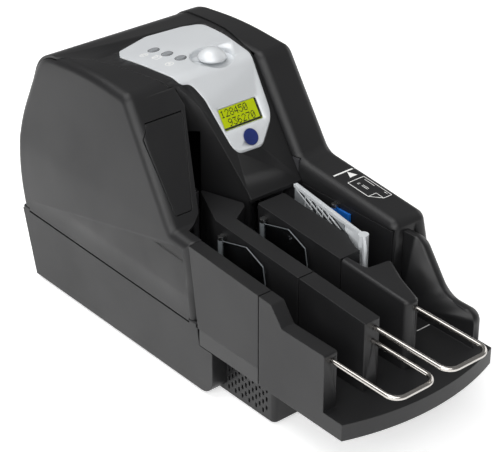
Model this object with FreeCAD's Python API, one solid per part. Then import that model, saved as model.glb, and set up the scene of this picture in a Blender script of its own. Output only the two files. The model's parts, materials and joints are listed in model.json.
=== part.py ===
import FreeCAD, Part
import math
import os

from FreeCAD import Vector

# Places are given as across (from the left side), ahead (from the line where the rear
# wall meets the base, towards the operator) and up (from the table).

# Overall body: widths of what stands side by side, from the left
pocket_wall_width = 11.7
pocket_one_width = 25.1
divider_one_width = 14.0
pocket_two_width = 26.2
divider_two_width = 26.4
hopper_width = 23.1
bay_right_width = 19.5
right_cover_width = 33.5
divider_one_across = pocket_wall_width + pocket_one_width
pocket_two_across = divider_one_across + divider_one_width
divider_two_across = pocket_two_across + pocket_two_width
hopper_across = divider_two_across + divider_two_width
right_inner_across = hopper_across + hopper_width
bay_width = right_inner_across + bay_right_width
body_width = right_inner_across + right_cover_width

# Overall body: lengths and heights
shell_front_ahead = 206.0
bay_length = 77.6
bay_front_ahead = shell_front_ahead + bay_length
pocket_top_height = 121.6
foot_height = 3.0
wall = 2.5
seam_gap = 0.6
clearance = 0.3
running_fit = 0.05
overrun = 5.0
match_tolerance = 0.001
arc_room_share = 0.49

# Rear wall, crown and front slope of the covers
rear_knee_back = 27.0
rear_knee_height = 112.0
rear_knee_radius = 150.0
crown_rear_ahead = 15.5
crown_rear_fall = 5.5
crown_rear_radius = 35.0
crown_mid_ahead = 80.0
crown_rise = 4.0
crown_mid_radius = 400.0
slope_top_ahead = 128.0
slope_rise = 87.4
slope_top_height = pocket_top_height + slope_rise
crown_mid_height = slope_top_height + crown_rise
crown_rear_height = crown_mid_height - crown_rear_fall
slope_top_radius = 12.0
slope_angle = 56.0
slope_foot_radius = 3.0
side_edge_radius = 8.0
left_taper_depth = 5.5
left_taper_rise = 2.4
left_taper_bottom = pocket_top_height + left_taper_rise

# Seam between the covers and the lower housing
seam_height = 59.2
seam_angle = 1.05
shell_front_angle = 7.8
shell_front_radius = 1.5
hinge_bead_radius = 1.5
hinge_pin_radius = 0.8
hinge_ear_length = 8.0
hinge_pin_grip = 10.0
hinge_rear_ahead = -12.5
hinge_front_margin = 1.5
hinge_web_lap = 1.5
front_relief = 1.2
front_relief_height = 22.0

# Seams between the covers, seen from above
left_seam_rear = 8.0
left_seam_mid = 7.0
left_seam_mid_ahead = 38.0
left_seam_bend = 21.0
left_seam_bend_ahead = 62.0
left_seam_front_out = 8.1
left_seam_front = pocket_two_across - left_seam_front_out
left_seam_front_ahead = 130.0
exit_edge_start_out = 3.3
exit_edge_start = pocket_two_across - exit_edge_start_out
exit_edge_top_in = 0.2
exit_edge_top = pocket_two_across + exit_edge_top_in
exit_edge_top_ahead = 139.0
exit_edge_mid_out = 8.3
exit_edge_mid = pocket_two_across - exit_edge_mid_out
exit_edge_mid_ahead = 155.0
exit_edge_low_out = 22.3
exit_edge_low = pocket_two_across - exit_edge_low_out
exit_edge_low_ahead = 182.5
fall_edge_top_out = 0.5
fall_edge_top = pocket_two_across - fall_edge_top_out
fall_edge_upper_in = 12.2
fall_edge_upper = pocket_two_across + fall_edge_upper_in
fall_edge_upper_ahead = 142.0
fall_edge_mid_in = 19.2
fall_edge_mid = pocket_two_across + fall_edge_mid_in
fall_edge_mid_ahead = 163.0
fall_edge_low_in = 25.2
fall_edge_low = pocket_two_across + fall_edge_low_in
fall_edge_low_ahead = 183.0
fall_wall_bottom = 95.0
fall_lintel_drop = 41.0
fall_lintel_bottom = slope_top_height - fall_lintel_drop
right_seam_rear_out = 16.5
right_seam_rear = right_inner_across + right_seam_rear_out
right_seam_mid_out = 8.5
right_seam_mid = right_inner_across + right_seam_mid_out
right_seam_mid_ahead = 84.0

# Right cover, proud of the centre
right_proud = 1.2
right_slope_step = 7.5
right_flat_rise = 16.9
right_flat_rear_height = pocket_top_height + right_flat_rise
right_flat_rear_radius = 14.0
right_front_step = 3.4
right_front_ahead = bay_front_ahead + right_front_step
right_front_rise = 6.4
right_front_height = pocket_top_height + right_front_rise
right_front_radius = 9.0
right_front_angle = 14.7
right_inner_radius = 7.0
right_tray_gap = 0.5

# Pocket bay
top_slope_angle = 4.05
bay_gap = 1.0
slab_bottom = 42.0
slab_top = 55.5
slab_wall = 2.5
divider_wall = 2.0
pocket_wall_gap = 0.8
divider_one_rear_ahead = 192.0
divider_two_rear_ahead = 192.0
divider_two_taper_back = 22.6
divider_two_taper_ahead = bay_front_ahead - divider_two_taper_back
divider_two_taper_run = 18.0
divider_two_taper_end = divider_two_taper_ahead + divider_two_taper_run
divider_two_taper_width = 19.0
divider_edge_radius = 0.8
wedge_tip_out = 3.7
wedge_tip_across = pocket_two_across + wedge_tip_out
wedge_tip_ahead = 151.0
wedge_right_out = 18.2
wedge_right_across = pocket_two_across + wedge_right_out
wedge_right_ahead = 185.0
wedge_front_out = 16.2
wedge_front_across = pocket_two_across + wedge_front_out
wedge_front_ahead = 189.0
wedge_corner_radius = 1.5

# Front tray with its walls
tray_corner_reach = 87.4
tray_corner_ahead = bay_front_ahead + tray_corner_reach
tray_crown = 13.0
tray_tongue_length = 18.0
tray_tongue_width = 22.0
tray_tongue_inset = 16.0
tray_tongue_height = 6.0
front_wall_reach = 68.4
front_wall_ahead = bay_front_ahead + front_wall_reach
front_wall_notch = 12.5
front_wall_ramp = 11.5
front_wall_top = 101.0
front_edge_radius = 2.0
right_wall_width = 11.7
right_wall_inner = bay_width - right_wall_width
right_wall_rear_step = 5.4
right_wall_rear_ahead = bay_front_ahead + right_wall_rear_step
right_wall_drop = 1.1
right_wall_high = pocket_top_height - right_wall_drop
right_wall_brow_run = 17.0
right_wall_brow_ahead = right_wall_rear_ahead + right_wall_brow_run
right_wall_brow_radius = 14.0
right_wall_slope_run = 26.0
right_wall_foot_ahead = right_wall_brow_ahead + right_wall_slope_run
right_wall_foot_radius = 20.0
right_wall_low = 84.5
right_wall_toe_run = 31.0
right_wall_front_ahead = right_wall_foot_ahead + right_wall_toe_run
right_wall_front_radius = 10.0
right_wall_edge_radius = 9.0
bulb_stem_width = 7.5
bulb_stem_across = divider_two_across + bulb_stem_width
bulb_waist_width = 9.0
bulb_waist_across = divider_two_across + bulb_waist_width
bulb_waist_reach = 17.9
bulb_waist_ahead = bay_front_ahead + bulb_waist_reach
bulb_wing_width = 30.5
bulb_wing_across = divider_two_across + bulb_wing_width
bulb_wing_step = 2.0
bulb_wing_ahead = bulb_waist_ahead + bulb_wing_step
bulb_wing_radius = 3.0
bulb_flank_width = 20.0
bulb_flank_across = divider_two_across + bulb_flank_width
bulb_flank_run = 22.5
bulb_flank_ahead = bulb_wing_ahead + bulb_flank_run
bulb_flank_radius = 40.0
bulb_nose_width = 11.5
bulb_nose_across = divider_two_across + bulb_nose_width
bulb_nose_radius = 5.0
bulb_edge_radius = 3.0

# Wire loops
wire_radius = 1.8
loop_bend_radius = 9.0
loop_socket_depth = 9.0
loop_one_left = 7.0
loop_one_right_in = 7.7
loop_one_right = divider_one_across + loop_one_right_in
loop_one_drop = 26.6
loop_one_height = pocket_top_height - loop_one_drop
loop_one_length = 61.0
loop_one_reach = front_wall_ahead + loop_one_length
loop_two_left_in = 9.2
loop_two_left = divider_one_across + loop_two_left_in
loop_two_right_in = 8.0
loop_two_right = divider_two_across + loop_two_right_in
loop_two_drop = 16.6
loop_two_height = pocket_top_height - loop_two_drop
loop_two_length = 70.0
loop_two_reach = front_wall_ahead + loop_two_length

# Lower housing and vent box
skirt_reach = 26.0
skirt_front_ahead = shell_front_ahead + skirt_reach
skirt_corner_radius = 13.0
skirt_top = 41.4
skirt_edge_radius = 1.5
tower_across = bay_width + seam_gap
vent_inset = 13.5
vent_right_across = bay_width - vent_inset
vent_front_step = 2.4
vent_front_ahead = bay_front_ahead + vent_front_step
vent_lap = 12.0
vent_wall = 2.0
vent_corner_radius = 4.0
vent_hole_width = 2.0
vent_hole_height = 4.0
vent_pitch_along = 7.8
vent_row_step = 3.75
vent_holes_rear_ahead = 227.0
vent_holes_low = 8.5
vent_columns = 7
vent_rows = 8
foot_radius = 7.0
foot_inset = 18.0
foot_rear_ahead = 14.0
foot_front_margin = 12.0
foot_seat = 1.0

# Deck and document track
deck_height = 53.0
deck_thickness = 2.0
deck_side_gap = 3.6
deck_rear_ahead = -6.0
deck_front_ahead = 190.0
deck_slab_gap = 1.0
post_radius = 4.0
post_inset = 8.5
post_rear_ahead = 14.0
post_front_ahead = 178.0
track_rise = 17.4
track_height = pocket_top_height + track_rise - deck_height - deck_thickness
track_gap = 5.0
track_wall = 2.0
track_left_inset = 0.7
track_left = pocket_two_across + track_left_inset
track_right = right_inner_across
track_turn_ahead = 44.0
track_right_end = 182.0
track_inner_end = 170.0
track_left_end = 128.0
roller_radius = 9.0
roller_width = 20.0
roller_low = 96.0
roller_shaft_radius = 2.5
roller_shaft_rise = 4.0
idler_radius = 8.0
idler_pin_radius = 2.0
idler_shoulder_radius = 3.2
window_margin = 1.5
right_station_ahead = 140.0
left_station_ahead = 96.0
pulley_radius = 7.0
pulley_width = 5.0
pulley_drop = 1.5
belt_thickness = 1.4
motor_offset = 5.0
motor_across = (track_left + track_right) / 2 - motor_offset
motor_station_step = 26.0
motor_ahead = right_station_ahead + motor_station_step
motor_radius = 17.0
motor_length = 26.0
motor_shaft_radius = 2.0
motor_shaft_depth = 12.0
motor_plate_thickness = 2.0
motor_plate_gap = 1.0
motor_plate_half_width = 22.0
motor_plate_half_length = 18.0
standoff_radius = 2.2
standoff_across = 18.0
standoff_ahead = 13.0

# Scanning and reading heads
camera_depth = 13.0
camera_length = 16.0
camera_slit = 4.0
camera_slit_margin = 3.0
camera_edge_radius = 1.0
front_camera_ahead = 98.0
back_camera_ahead = 66.0
head_depth = 9.0
head_length = 14.0
head_height = 16.0
head_up = 66.0
head_ahead = 166.0

# Ink cartridge
cartridge_width = 20.0
cartridge_length = 30.0
cartridge_height = 44.0
cartridge_ahead = 108.0
cartridge_edge_radius = 2.0
cartridge_nozzle = 8.0
cradle_wall = 1.6
cradle_gap = 0.3
cradle_floor = 8.0
cradle_height = 24.0

# Sort gate
gate_ahead = 146.6
gate_pin_radius = 1.5
gate_hub_radius = 2.6
gate_blade_length = 17.0
gate_blade_thickness = 1.2
gate_height = 60.0
gate_low = 62.0
gate_pin_rise = 2.0

# Hopper feeder
plate_thickness = 1.8
plate_drop = 0.6
plate_top = pocket_top_height - plate_drop
plate_rear_ahead = 184.0
plate_front_step = 1.8
plate_front_ahead = bay_front_ahead + plate_front_step
feed_ahead = 203.0
feed_radius = 10.0
feed_width = 34.0
feed_low = 68.0
feed_poke = 1.6
feed_motor_radius = 8.5
feed_motor_length = 24.0
feed_shaft_depth = 10.0
separator_radius = 6.5
separator_ahead = 184.0
separator_width = 18.0
separator_low = 58.0
separator_pin_rise = 3.0

# Hopper pusher paddle
paddle_pivot_out = 1.1
paddle_pivot_across = hopper_across + paddle_pivot_out
paddle_pivot_back = 5.6
paddle_pivot_ahead = bay_front_ahead - paddle_pivot_back
paddle_tip_gap = 8.0
paddle_tip_across = right_inner_across - paddle_tip_gap
paddle_tip_ahead = 189.2
paddle_rise = 2.4
paddle_top = pocket_top_height + paddle_rise
paddle_low = 80.0
paddle_plate = 2.2
paddle_rib = 1.8
paddle_rib_width = 3.0
paddle_rib_count = 5
paddle_rib_first = 42.0
paddle_rib_pitch = 8.0
paddle_hub_radius = 4.0
paddle_pin_radius = 1.6
paddle_grip_out = 12.0
paddle_grip_across = paddle_pivot_across - paddle_grip_out
paddle_grip_run = 15.0
paddle_grip_ahead = paddle_pivot_ahead + paddle_grip_run
paddle_grip_low = 98.0
paddle_grip_radius = 12.0

# Blue latch lever
latch_ahead = 226.0
latch_length = 16.0
latch_height = 7.0
latch_drop = 11.0
latch_low = plate_top - latch_drop
latch_plate = 1.8
latch_pin_radius = 1.2
latch_hub_radius = 2.4
latch_bracket_height = 3.0

# Pocket flags
flag_hub_radius = 2.4
flag_pin_radius = 0.9
flag_thickness = 1.0
flag_low = 79.0
flag_height = 33.0
flag_hub_ahead = 202.0
flag_stand_off = 3.2
flag_neck_length = 3.6
flag_brow_length = 29.0
flag_brow_rise = 6.5
flag_chin_length = 47.6
flag_chin_drop = 1.4
flag_toe_length = 50.0
flag_toe_drop = 14.3
flag_corner_radius = 2.0
flag_bracket_height = 3.0

# Control panel on the crown and slope
panel_thickness = 1.6
panel_sink = 0.8
panel_side_gap = 86.7
panel_left = right_inner_across - panel_side_gap
panel_width = 87.7
panel_rear_ahead = 55.2
panel_length = 111.0
panel_tip_radius = 5.0
panel_corner_radius = 9.0
panel_wide_radius = 14.0
panel_flank_radius = 60.0
panel_shares = [
    (0.0, 0.18, panel_tip_radius),
    (0.065, 0.102, panel_tip_radius),
    (0.447, 0.0, panel_wide_radius),
    (0.823, 0.025, panel_wide_radius),
    (1.0, 0.079, panel_corner_radius),
    (0.999, 0.331, panel_flank_radius),
    (0.932, 0.907, panel_corner_radius),
    (0.732, 1.0, panel_wide_radius),
    (0.436, 0.995, panel_corner_radius),
    (0.34, 0.76, panel_corner_radius),
    (0.265, 0.688, panel_corner_radius),
    (0.151, 0.679, panel_tip_radius),
]
panel_reach_down = 59.0
panel_low_height = slope_top_height - panel_reach_down
display_inset = 37.7
display_left = panel_left + display_inset
display_width = 36.4
display_top_ahead = 145.9
display_height = 16.6
display_recess = 1.0
display_frame = 2.4
display_bevel = 2.4
display_rim_share = 1.5
display_corner_radius = 1.0
display_module_margin = 3.0
display_module_depth = 7.0
display_window_thickness = 1.0
badge_inset = 56.2
badge_across = panel_left + badge_inset
badge_ahead = 161.0
badge_radius = 6.4
badge_rise = 0.7
badge_depth = 1.0
light_count = 3
light_half_long = 4.2
light_half_wide = 2.5
light_rise = 0.8
light_depth = 4.5
light_one_inset = 26.9
light_one_across = panel_left + light_one_inset
light_one_ahead = 81.8
light_step_across = 4.1
light_step_ahead = 11.4
knob_inset = 57.2
knob_across = panel_left + knob_inset
knob_ahead = 115.0
knob_radius = 11.0
knob_rise = 7.0
knob_sink = 1.4
knob_stem_radius = 3.0
knob_press = 1.5
dish_half_long = 18.5
dish_half_wide = 15.0
dish_depth = 3.6
dish_wall = 1.4
switch_size = 16.0
switch_height = 9.0

# Ink door in the slope of the left cover
door_left = 13.0
door_shoulder_across = 7.5
door_neck = 2.2
door_shoulder_drop = 6.0
door_right = 46.0
door_top_ahead = 141.0
door_low_left = 9.0
door_low_right = 24.0
door_low_ahead = 180.5
door_gap = 0.5
door_corner_radius = 2.0
door_pin_radius = 0.6
door_pin_grip = 2.2

# Electronics in the lower housing
board_thickness = 1.6
board_up = 14.0
board_left = 14.0
board_right = 112.0
board_rear_ahead = 4.0
board_front_ahead = 128.0
board_post_radius = 2.5
board_post_inset = 6.0
chip_height = 3.0
chip_size = 18.0
chip_across = 80.0
chip_ahead = 60.0
heat_sink_height = 12.0
heat_sink_size = 28.0
heat_sink_across = 30.0
heat_sink_ahead = 52.0
port_across = 38.0
port_width = 13.0
usb_across = 66.0
usb_width = 12.5
port_height = 11.0
port_depth = 17.0
port_gap = 0.2
port_hole_radius = 3.4
port_hole_depth = 9.0
usb_hole_margin = 2.2
usb_tongue = 2.0

# Cooling fan behind the vent holes
fan_size = 30.0
fan_depth = 10.0
fan_ahead = 258.0
fan_hole_radius = 13.6
fan_spider_width = 3.0
fan_spider_depth = 2.0
fan_hub_radius = 6.0
fan_rotor_radius = 12.6
fan_rotor_depth = 6.0
fan_blade_count = 7
fan_blade_thickness = 1.0
fan_blade_turn = 32.0
fan_axle_radius = 1.2
fan_rotor_gap = 0.8

# Derived lines
left = -body_width / 2
slope_rate = math.tan(math.radians(slope_angle))
seam_fall = math.tan(math.radians(seam_angle))
top_fall = math.tan(math.radians(top_slope_angle))
shell_front_run = math.tan(math.radians(shell_front_angle))
right_front_run = math.tan(math.radians(right_front_angle))
left_taper_rate = left_taper_depth / (crown_mid_height - left_taper_bottom)
hinge_rise = seam_gap + hinge_bead_radius
hinge_band = 2 * hinge_bead_radius + clearance
deck_top = deck_height + deck_thickness
track_across = (track_left + track_right) / 2
track_outer_radius = (track_right - track_left) / 2
track_inner_radius = track_outer_radius - track_gap
roller_turn = track_outer_radius - (track_gap + clearance) / 2 - roller_radius
idler_turn = track_outer_radius - (track_gap - clearance) / 2 + idler_radius
pulley_top = deck_height - pulley_drop
pulley_low = pulley_top - pulley_width
plate_left = right_inner_across - running_fit
front_rear_ahead = bay_front_ahead + bay_gap
far_height = crown_mid_height + 2 * overrun


def corner_arc(before, corner, after, radius):
    """Give the start, top and end of the arc that rounds a corner, with its centre."""
    to_before = before - corner
    to_after = after - corner
    room = arc_room_share * min(to_before.Length, to_after.Length)
    half = to_before.getAngle(to_after) / 2
    back = min(radius / math.tan(half), room)
    to_before.normalize()
    to_after.normalize()
    middle = (to_before + to_after).normalize()
    radius = back * math.tan(half)
    centre = corner + middle * (radius / math.sin(half))
    return corner + to_before * back, centre - middle * radius, corner + to_after * back, centre


def knee_bulge():
    """Work out how far the rear wall stands behind its own base line."""
    base = Vector(0, foot_height, 0)
    knee = Vector(-rear_knee_back, rear_knee_height, 0)
    crown = Vector(crown_rear_ahead, crown_rear_height, 0)
    start, top, end, centre = corner_arc(base, knee, crown, rear_knee_radius)
    return (start - centre).Length - centre.x


front_reach = loop_two_reach + wire_radius
rear_line = (front_reach - knee_bulge()) / 2


def seam(ahead):
    """Height of the seam between the covers and the lower housing."""
    return seam_height - ahead * seam_fall


def top_line(ahead):
    """Height of the falling line that the pocket walls end on."""
    return pocket_top_height - (ahead - shell_front_ahead) * top_fall


def shell_front(up):
    """How far ahead the left cover reaches at a height."""
    return shell_front_ahead + shell_front_run * (pocket_top_height - up)


def right_front(up):
    """How far ahead the right cover reaches at a height."""
    return right_front_ahead + right_front_run * (right_front_height - up)


def rear_face(up):
    """Where the lower rear wall stands at a height."""
    return -rear_knee_back * (up - foot_height) / (rear_knee_height - foot_height)


def spot(across, ahead, up):
    """Turn a place on the scanner into a point."""
    return Vector(left + across, rear_line - ahead, up)


def rounded_wire(corners, place):
    """Join corners (a, b, radius) by straight runs and tangent arcs into a closed wire."""
    points = [place(a, b) for a, b, radius in corners]
    arcs = []
    for index, (a, b, radius) in enumerate(corners):
        after = points[(index + 1) % len(points)]
        arcs.append(corner_arc(points[index - 1], points[index], after, radius))
    edges = []
    for index, (start, top, end, centre) in enumerate(arcs):
        if not start.isEqual(end, match_tolerance):
            edges.append(Part.Arc(start, top, end).toShape())
        following = arcs[(index + 1) % len(arcs)][0]
        if not end.isEqual(following, match_tolerance):
            edges.append(Part.LineSegment(end, following).toShape())
    return Part.Wire(edges)


def grown(wire, growth):
    """Offset a wire outwards, or inwards where the growth is negative."""
    return wire.makeOffset2D(growth) if growth else wire


def across_prism(corners, start, end, growth=0):
    """Extrude an (ahead, up) outline across the scanner."""
    wire = rounded_wire(corners, lambda ahead, up: spot(start, ahead, up))
    return Part.Face(grown(wire, growth)).extrude(Vector(end - start, 0, 0))


def up_prism(corners, low, high, growth=0):
    """Extrude an (across, ahead) outline upwards."""
    wire = rounded_wire(corners, lambda across, ahead: spot(across, ahead, low))
    return Part.Face(grown(wire, growth)).extrude(Vector(0, 0, high - low))


def ahead_prism(corners, start, end):
    """Extrude an (across, up) outline towards the operator."""
    wire = rounded_wire(corners, lambda across, up: spot(across, start, up))
    return Part.Face(wire).extrude(Vector(0, start - end, 0))


def box(across, ahead, up):
    """Make a block from three (start, end) pairs."""
    corner = spot(across[0], ahead[1], up[0])
    return Part.makeBox(across[1] - across[0], ahead[1] - ahead[0], up[1] - up[0], corner)


def post(across, ahead, low, high, radius):
    """Make an upright cylinder."""
    return Part.makeCylinder(radius, high - low, spot(across, ahead, low))


def rod(across, ahead, up, radius):
    """Make a level cylinder across the scanner from a (start, end) pair."""
    start = spot(across[0], ahead, up)
    return Part.makeCylinder(radius, across[1] - across[0], start, Vector(1, 0, 0))


def vane(start, end, thickness, low, high):
    """Stand a flat plate on the line between two (across, ahead) points."""
    run = math.hypot(end[0] - start[0], end[1] - start[1])
    half_across = (end[1] - start[1]) / run * thickness / 2
    half_ahead = (start[0] - end[0]) / run * thickness / 2
    corners = []
    for point, side in ((start, 1), (end, 1), (end, -1), (start, -1)):
        corners.append((point[0] + side * half_across, point[1] + side * half_ahead, 0))
    return up_prism(corners, low, high)


def joined(pieces):
    """Fuse solids into one and clean the seams between them."""
    return pieces[0].fuse(pieces[1:]).removeSplitter()


def along_seam(across, start, end, radius):
    """Make a cylinder that runs along the cover hinge line."""
    base = spot(across, start, seam(start) + hinge_rise)
    tip = spot(across, end, seam(end) + hinge_rise)
    return Part.makeCylinder(radius, (tip - base).Length, base, tip - base)


def seam_strip(across, ahead, rise):
    """Fill a band that follows the seam, from three (start, end) pairs."""
    corners = [
        (ahead[0], seam(ahead[0]) + rise[0], 0),
        (ahead[1], seam(ahead[1]) + rise[0], 0),
        (ahead[1], seam(ahead[1]) + rise[1], 0),
        (ahead[0], seam(ahead[0]) + rise[1], 0),
    ]
    return across_prism(corners, across[0], across[1])


def above_seam():
    """Fill the space that the covers may take."""
    ahead = (-rear_knee_back - overrun, front_reach)
    return seam_strip((-overrun, body_width + overrun), ahead, (seam_gap, far_height))


# Skins of the covers

slope_foot_ahead = (
    slope_top_height + slope_top_ahead * slope_rate - pocket_top_height - shell_front_ahead * top_fall
) / (slope_rate - top_fall)

left_side = [
    (0, foot_height, 0),
    (-rear_knee_back, rear_knee_height, rear_knee_radius),
    (crown_rear_ahead, crown_rear_height, crown_rear_radius),
    (crown_mid_ahead, crown_mid_height, crown_mid_radius),
    (slope_top_ahead, slope_top_height, slope_top_radius),
    (slope_foot_ahead, top_line(slope_foot_ahead), slope_foot_radius),
    (shell_front_ahead, pocket_top_height, shell_front_radius),
    (shell_front(foot_height), foot_height, 0),
]

right_slope_top = slope_top_ahead + right_slope_step
right_slope_fall = slope_top_height + right_proud - right_flat_rear_height
right_side = [
    (0, foot_height, 0),
    (-rear_knee_back, rear_knee_height, rear_knee_radius),
    (crown_rear_ahead, crown_rear_height + right_proud, crown_rear_radius),
    (crown_mid_ahead, crown_mid_height + right_proud, crown_mid_radius),
    (right_slope_top, slope_top_height + right_proud, slope_top_radius),
    (right_slope_top + right_slope_fall / slope_rate, right_flat_rear_height, right_flat_rear_radius),
    (right_front_ahead, right_front_height, right_front_radius),
    (right_front(foot_height), foot_height, 0),
]


def skin_block(inset):
    """Fill the space under the skin that the left and centre covers share."""
    return across_prism(left_side, -overrun, body_width + overrun, -inset)


def taper_across(up):
    """How far the upper left side leans inwards at a height."""
    return max(0, up - left_taper_bottom) * left_taper_rate


def left_block(inset):
    """Fill the space under the left cover, with its leaning side and rounded ridge."""
    block = across_prism(left_side, inset, body_width, -inset)
    taper = [
        (inset, left_taper_bottom, 0),
        (inset + taper_across(far_height), far_height, 0),
        (-overrun, far_height, 0),
        (-overrun, left_taper_bottom, 0),
    ]
    block = block.cut(ahead_prism(taper, -rear_knee_back - overrun, front_reach))

    def on_ridge(point):
        side = left + inset + taper_across(point.z)
        level = point.z - left_taper_bottom
        return (
            abs(point.x - side) < match_tolerance
            and level > -match_tolerance
            and rear_line - point.y < slope_foot_ahead
        )

    def on_crease(point):
        return on_ridge(point) and abs(point.z - left_taper_bottom) < match_tolerance

    ridge = []
    for edge in block.Edges:
        points = [vertex.Point for vertex in edge.Vertexes]
        if all(map(on_ridge, points)) and not all(map(on_crease, points)):
            ridge.append(edge)
    return block.makeFillet(side_edge_radius - inset, ridge)


def right_block(inset):
    """Fill the space under the right cover, rounded along both of its long edges."""
    start = right_inner_across + inset
    end = body_width - inset
    block = across_prism(right_side, start, end, -inset)
    low = foot_height + inset + match_tolerance
    for across, radius in ((start, right_inner_radius - inset), (end, side_edge_radius - inset)):
        ridge = []
        for edge in block.Edges:
            points = [vertex.Point for vertex in edge.Vertexes]
            beside = all(abs(point.x - left - across) < match_tolerance for point in points)
            if beside and max(point.z for point in points) > low:
                ridge.append(edge)
        block = block.makeFillet(radius, ridge)
    return block


def hinged(cover, across, band, rear, front):
    """Give a cover its hinge bead, with gaps for the ears and bores for the pins."""
    rear_ear = rear + hinge_ear_length
    front_ear = front - hinge_ear_length
    ear_rise = hinge_rise + hinge_bead_radius + clearance
    cover = cover.cut(seam_strip(band, (rear - overrun, front + overrun), (-overrun, hinge_rise)))
    cover = cover.fuse(along_seam(across, rear_ear + clearance, front_ear - clearance, hinge_bead_radius))
    bore = hinge_pin_radius + running_fit
    for start, end in ((rear - overrun, rear_ear + clearance), (front_ear - clearance, front + overrun)):
        cover = cover.cut(seam_strip(band, (start, end), (-overrun, ear_rise)))
    grip = hinge_pin_grip + clearance
    cover = cover.cut(along_seam(across, rear_ear, rear_ear + grip, bore))
    return cover.cut(along_seam(across, front_ear - grip, front_ear, bore))


def hinge_ears(across, band, rear, front):
    """Stand the two bored ears that carry a cover on the lower housing."""
    ears = []
    bore = along_seam(across, rear - overrun, front + overrun, hinge_pin_radius + running_fit)
    for start in (rear, front - hinge_ear_length):
        end = start + hinge_ear_length
        web = seam_strip(band, (start, end), (-hinge_web_lap, hinge_rise))
        ears.append(web.fuse(along_seam(across, start, end, hinge_bead_radius)).cut(bore))
    return ears


def hinge_pins(across, rear, front):
    """Make the two pins of one cover."""
    length = hinge_ear_length + hinge_pin_grip
    pins = [along_seam(across, rear, rear + length, hinge_pin_radius)]
    pins.append(along_seam(across, front - length, front, hinge_pin_radius))
    return Part.makeCompound(pins)


hinge_width = 2 * hinge_bead_radius
left_hinge = (hinge_bead_radius, (-overrun, hinge_band))
right_hinge = (body_width - hinge_bead_radius, (body_width - hinge_band, body_width + overrun))
left_hinge_front = shell_front(seam(shell_front_ahead)) - hinge_front_margin
right_hinge_front = right_front(seam(right_front_ahead)) - hinge_front_margin


def door_outline():
    """Outline of the ink door, seen from above."""
    return [
        (door_left, door_top_ahead, 0),
        (door_right, door_top_ahead, 0),
        (door_right, door_top_ahead + door_neck, 0),
        (door_low_right, door_low_ahead, door_corner_radius),
        (door_low_left, door_low_ahead, door_corner_radius),
        (door_shoulder_across, door_top_ahead + door_shoulder_drop, door_corner_radius),
        (door_left, door_top_ahead + door_neck, 0),
    ]


def on_slope(across, drop, rise):
    """Find a point down the slope from its top corner, at a rise square to it."""
    turn = math.radians(slope_angle)
    ahead = slope_top_ahead + drop * math.cos(turn) + rise * math.sin(turn)
    return spot(across, ahead, slope_top_height - drop * math.sin(turn) + rise * math.cos(turn))


slope_normal = on_slope(0, 0, 1) - on_slope(0, 0, 0)


def slope_drop(ahead):
    """How far down the slope a place lies."""
    return (ahead - slope_top_ahead) / math.cos(math.radians(slope_angle))


def slope_prism(corners, low, high, growth=0):
    """Extrude an (across, drop) outline square to the slope."""
    wire = rounded_wire(corners, lambda across, drop: on_slope(across, drop, low))
    return Part.Face(grown(wire, growth)).extrude(slope_normal * (high - low))


def door_prism(growth):
    """Fill the ink door's outline through the slope."""
    corners = [(across, slope_drop(ahead), radius) for across, ahead, radius in door_outline()]
    return slope_prism(corners, -side_edge_radius, overrun, growth)


def door_hinge(start, end, radius):
    """Make a cylinder along the ink door's hinge line."""
    base = on_slope(start, slope_drop(door_top_ahead) + wall / 2, -wall / 2)
    return Part.makeCylinder(radius, end - start, base, Vector(1, 0, 0))


def left_region():
    """Fill the left cover's place, seen from above."""
    half = seam_gap / 2
    corners = [
        (-overrun, -rear_knee_back - overrun, 0),
        (left_seam_rear - half, -rear_knee_back - overrun, 0),
        (left_seam_mid - half, left_seam_mid_ahead, 0),
        (left_seam_bend - half, left_seam_bend_ahead, 0),
        (left_seam_front - half, left_seam_front_ahead + half, 0),
        (exit_edge_start, left_seam_front_ahead + seam_gap, 0),
        (exit_edge_top, exit_edge_top_ahead, 0),
        (exit_edge_mid, exit_edge_mid_ahead, 0),
        (exit_edge_low, exit_edge_low_ahead, 0),
        (pocket_wall_width + seam_gap, slope_foot_ahead + overrun, 0),
        (pocket_wall_width + seam_gap, front_reach, 0),
        (-overrun, front_reach, 0),
    ]
    return up_prism(corners, 0, far_height)


def left_cover():
    """The left cover, hinged along its lower outer edge."""
    outer = left_block(0)
    skin = outer.cut(left_block(wall)).common(left_region())
    inner_wall = (pocket_wall_width + seam_gap - wall, pocket_wall_width + seam_gap)
    ahead = (slope_foot_ahead - overrun, front_reach)
    skin = skin.fuse(outer.common(box(inner_wall, ahead, (0, far_height))))
    skin = skin.common(above_seam())
    top = seam_height + front_relief_height
    relief = [
        (shell_front(slab_top) - front_relief, slab_top, 0),
        (shell_front(top), top, 0),
        (front_reach, top, 0),
        (front_reach, slab_top, 0),
    ]
    skin = skin.cut(across_prism(relief, hinge_band, body_width))
    cover = hinged(skin, left_hinge[0], left_hinge[1], hinge_rear_ahead, left_hinge_front)
    cover = cover.cut(door_prism(door_gap))
    bore = door_pin_radius + running_fit
    cover = cover.cut(door_hinge(door_left - door_gap - door_pin_grip, door_right, bore))
    return cover.cut(door_hinge(door_right, door_right + door_gap + door_pin_grip, bore))


def ink_door():
    """The small door in the slope, rounded along its hinged top edge."""
    door = left_block(0).cut(left_block(wall)).common(door_prism(0))
    top = slope_drop(door_top_ahead)
    strip = [
        (door_left, top, 0),
        (door_right, top, 0),
        (door_right, top + wall / 2, 0),
        (door_left, top + wall / 2, 0),
    ]
    door = door.cut(slope_prism(strip, -wall - overrun, overrun))
    door = door.fuse(door_hinge(door_left, door_right, wall / 2))
    bore = door_pin_radius + running_fit
    grip = door_pin_grip + clearance
    door = door.cut(door_hinge(door_left - clearance, door_left + grip, bore))
    return door.cut(door_hinge(door_right - grip, door_right + clearance, bore))


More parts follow.
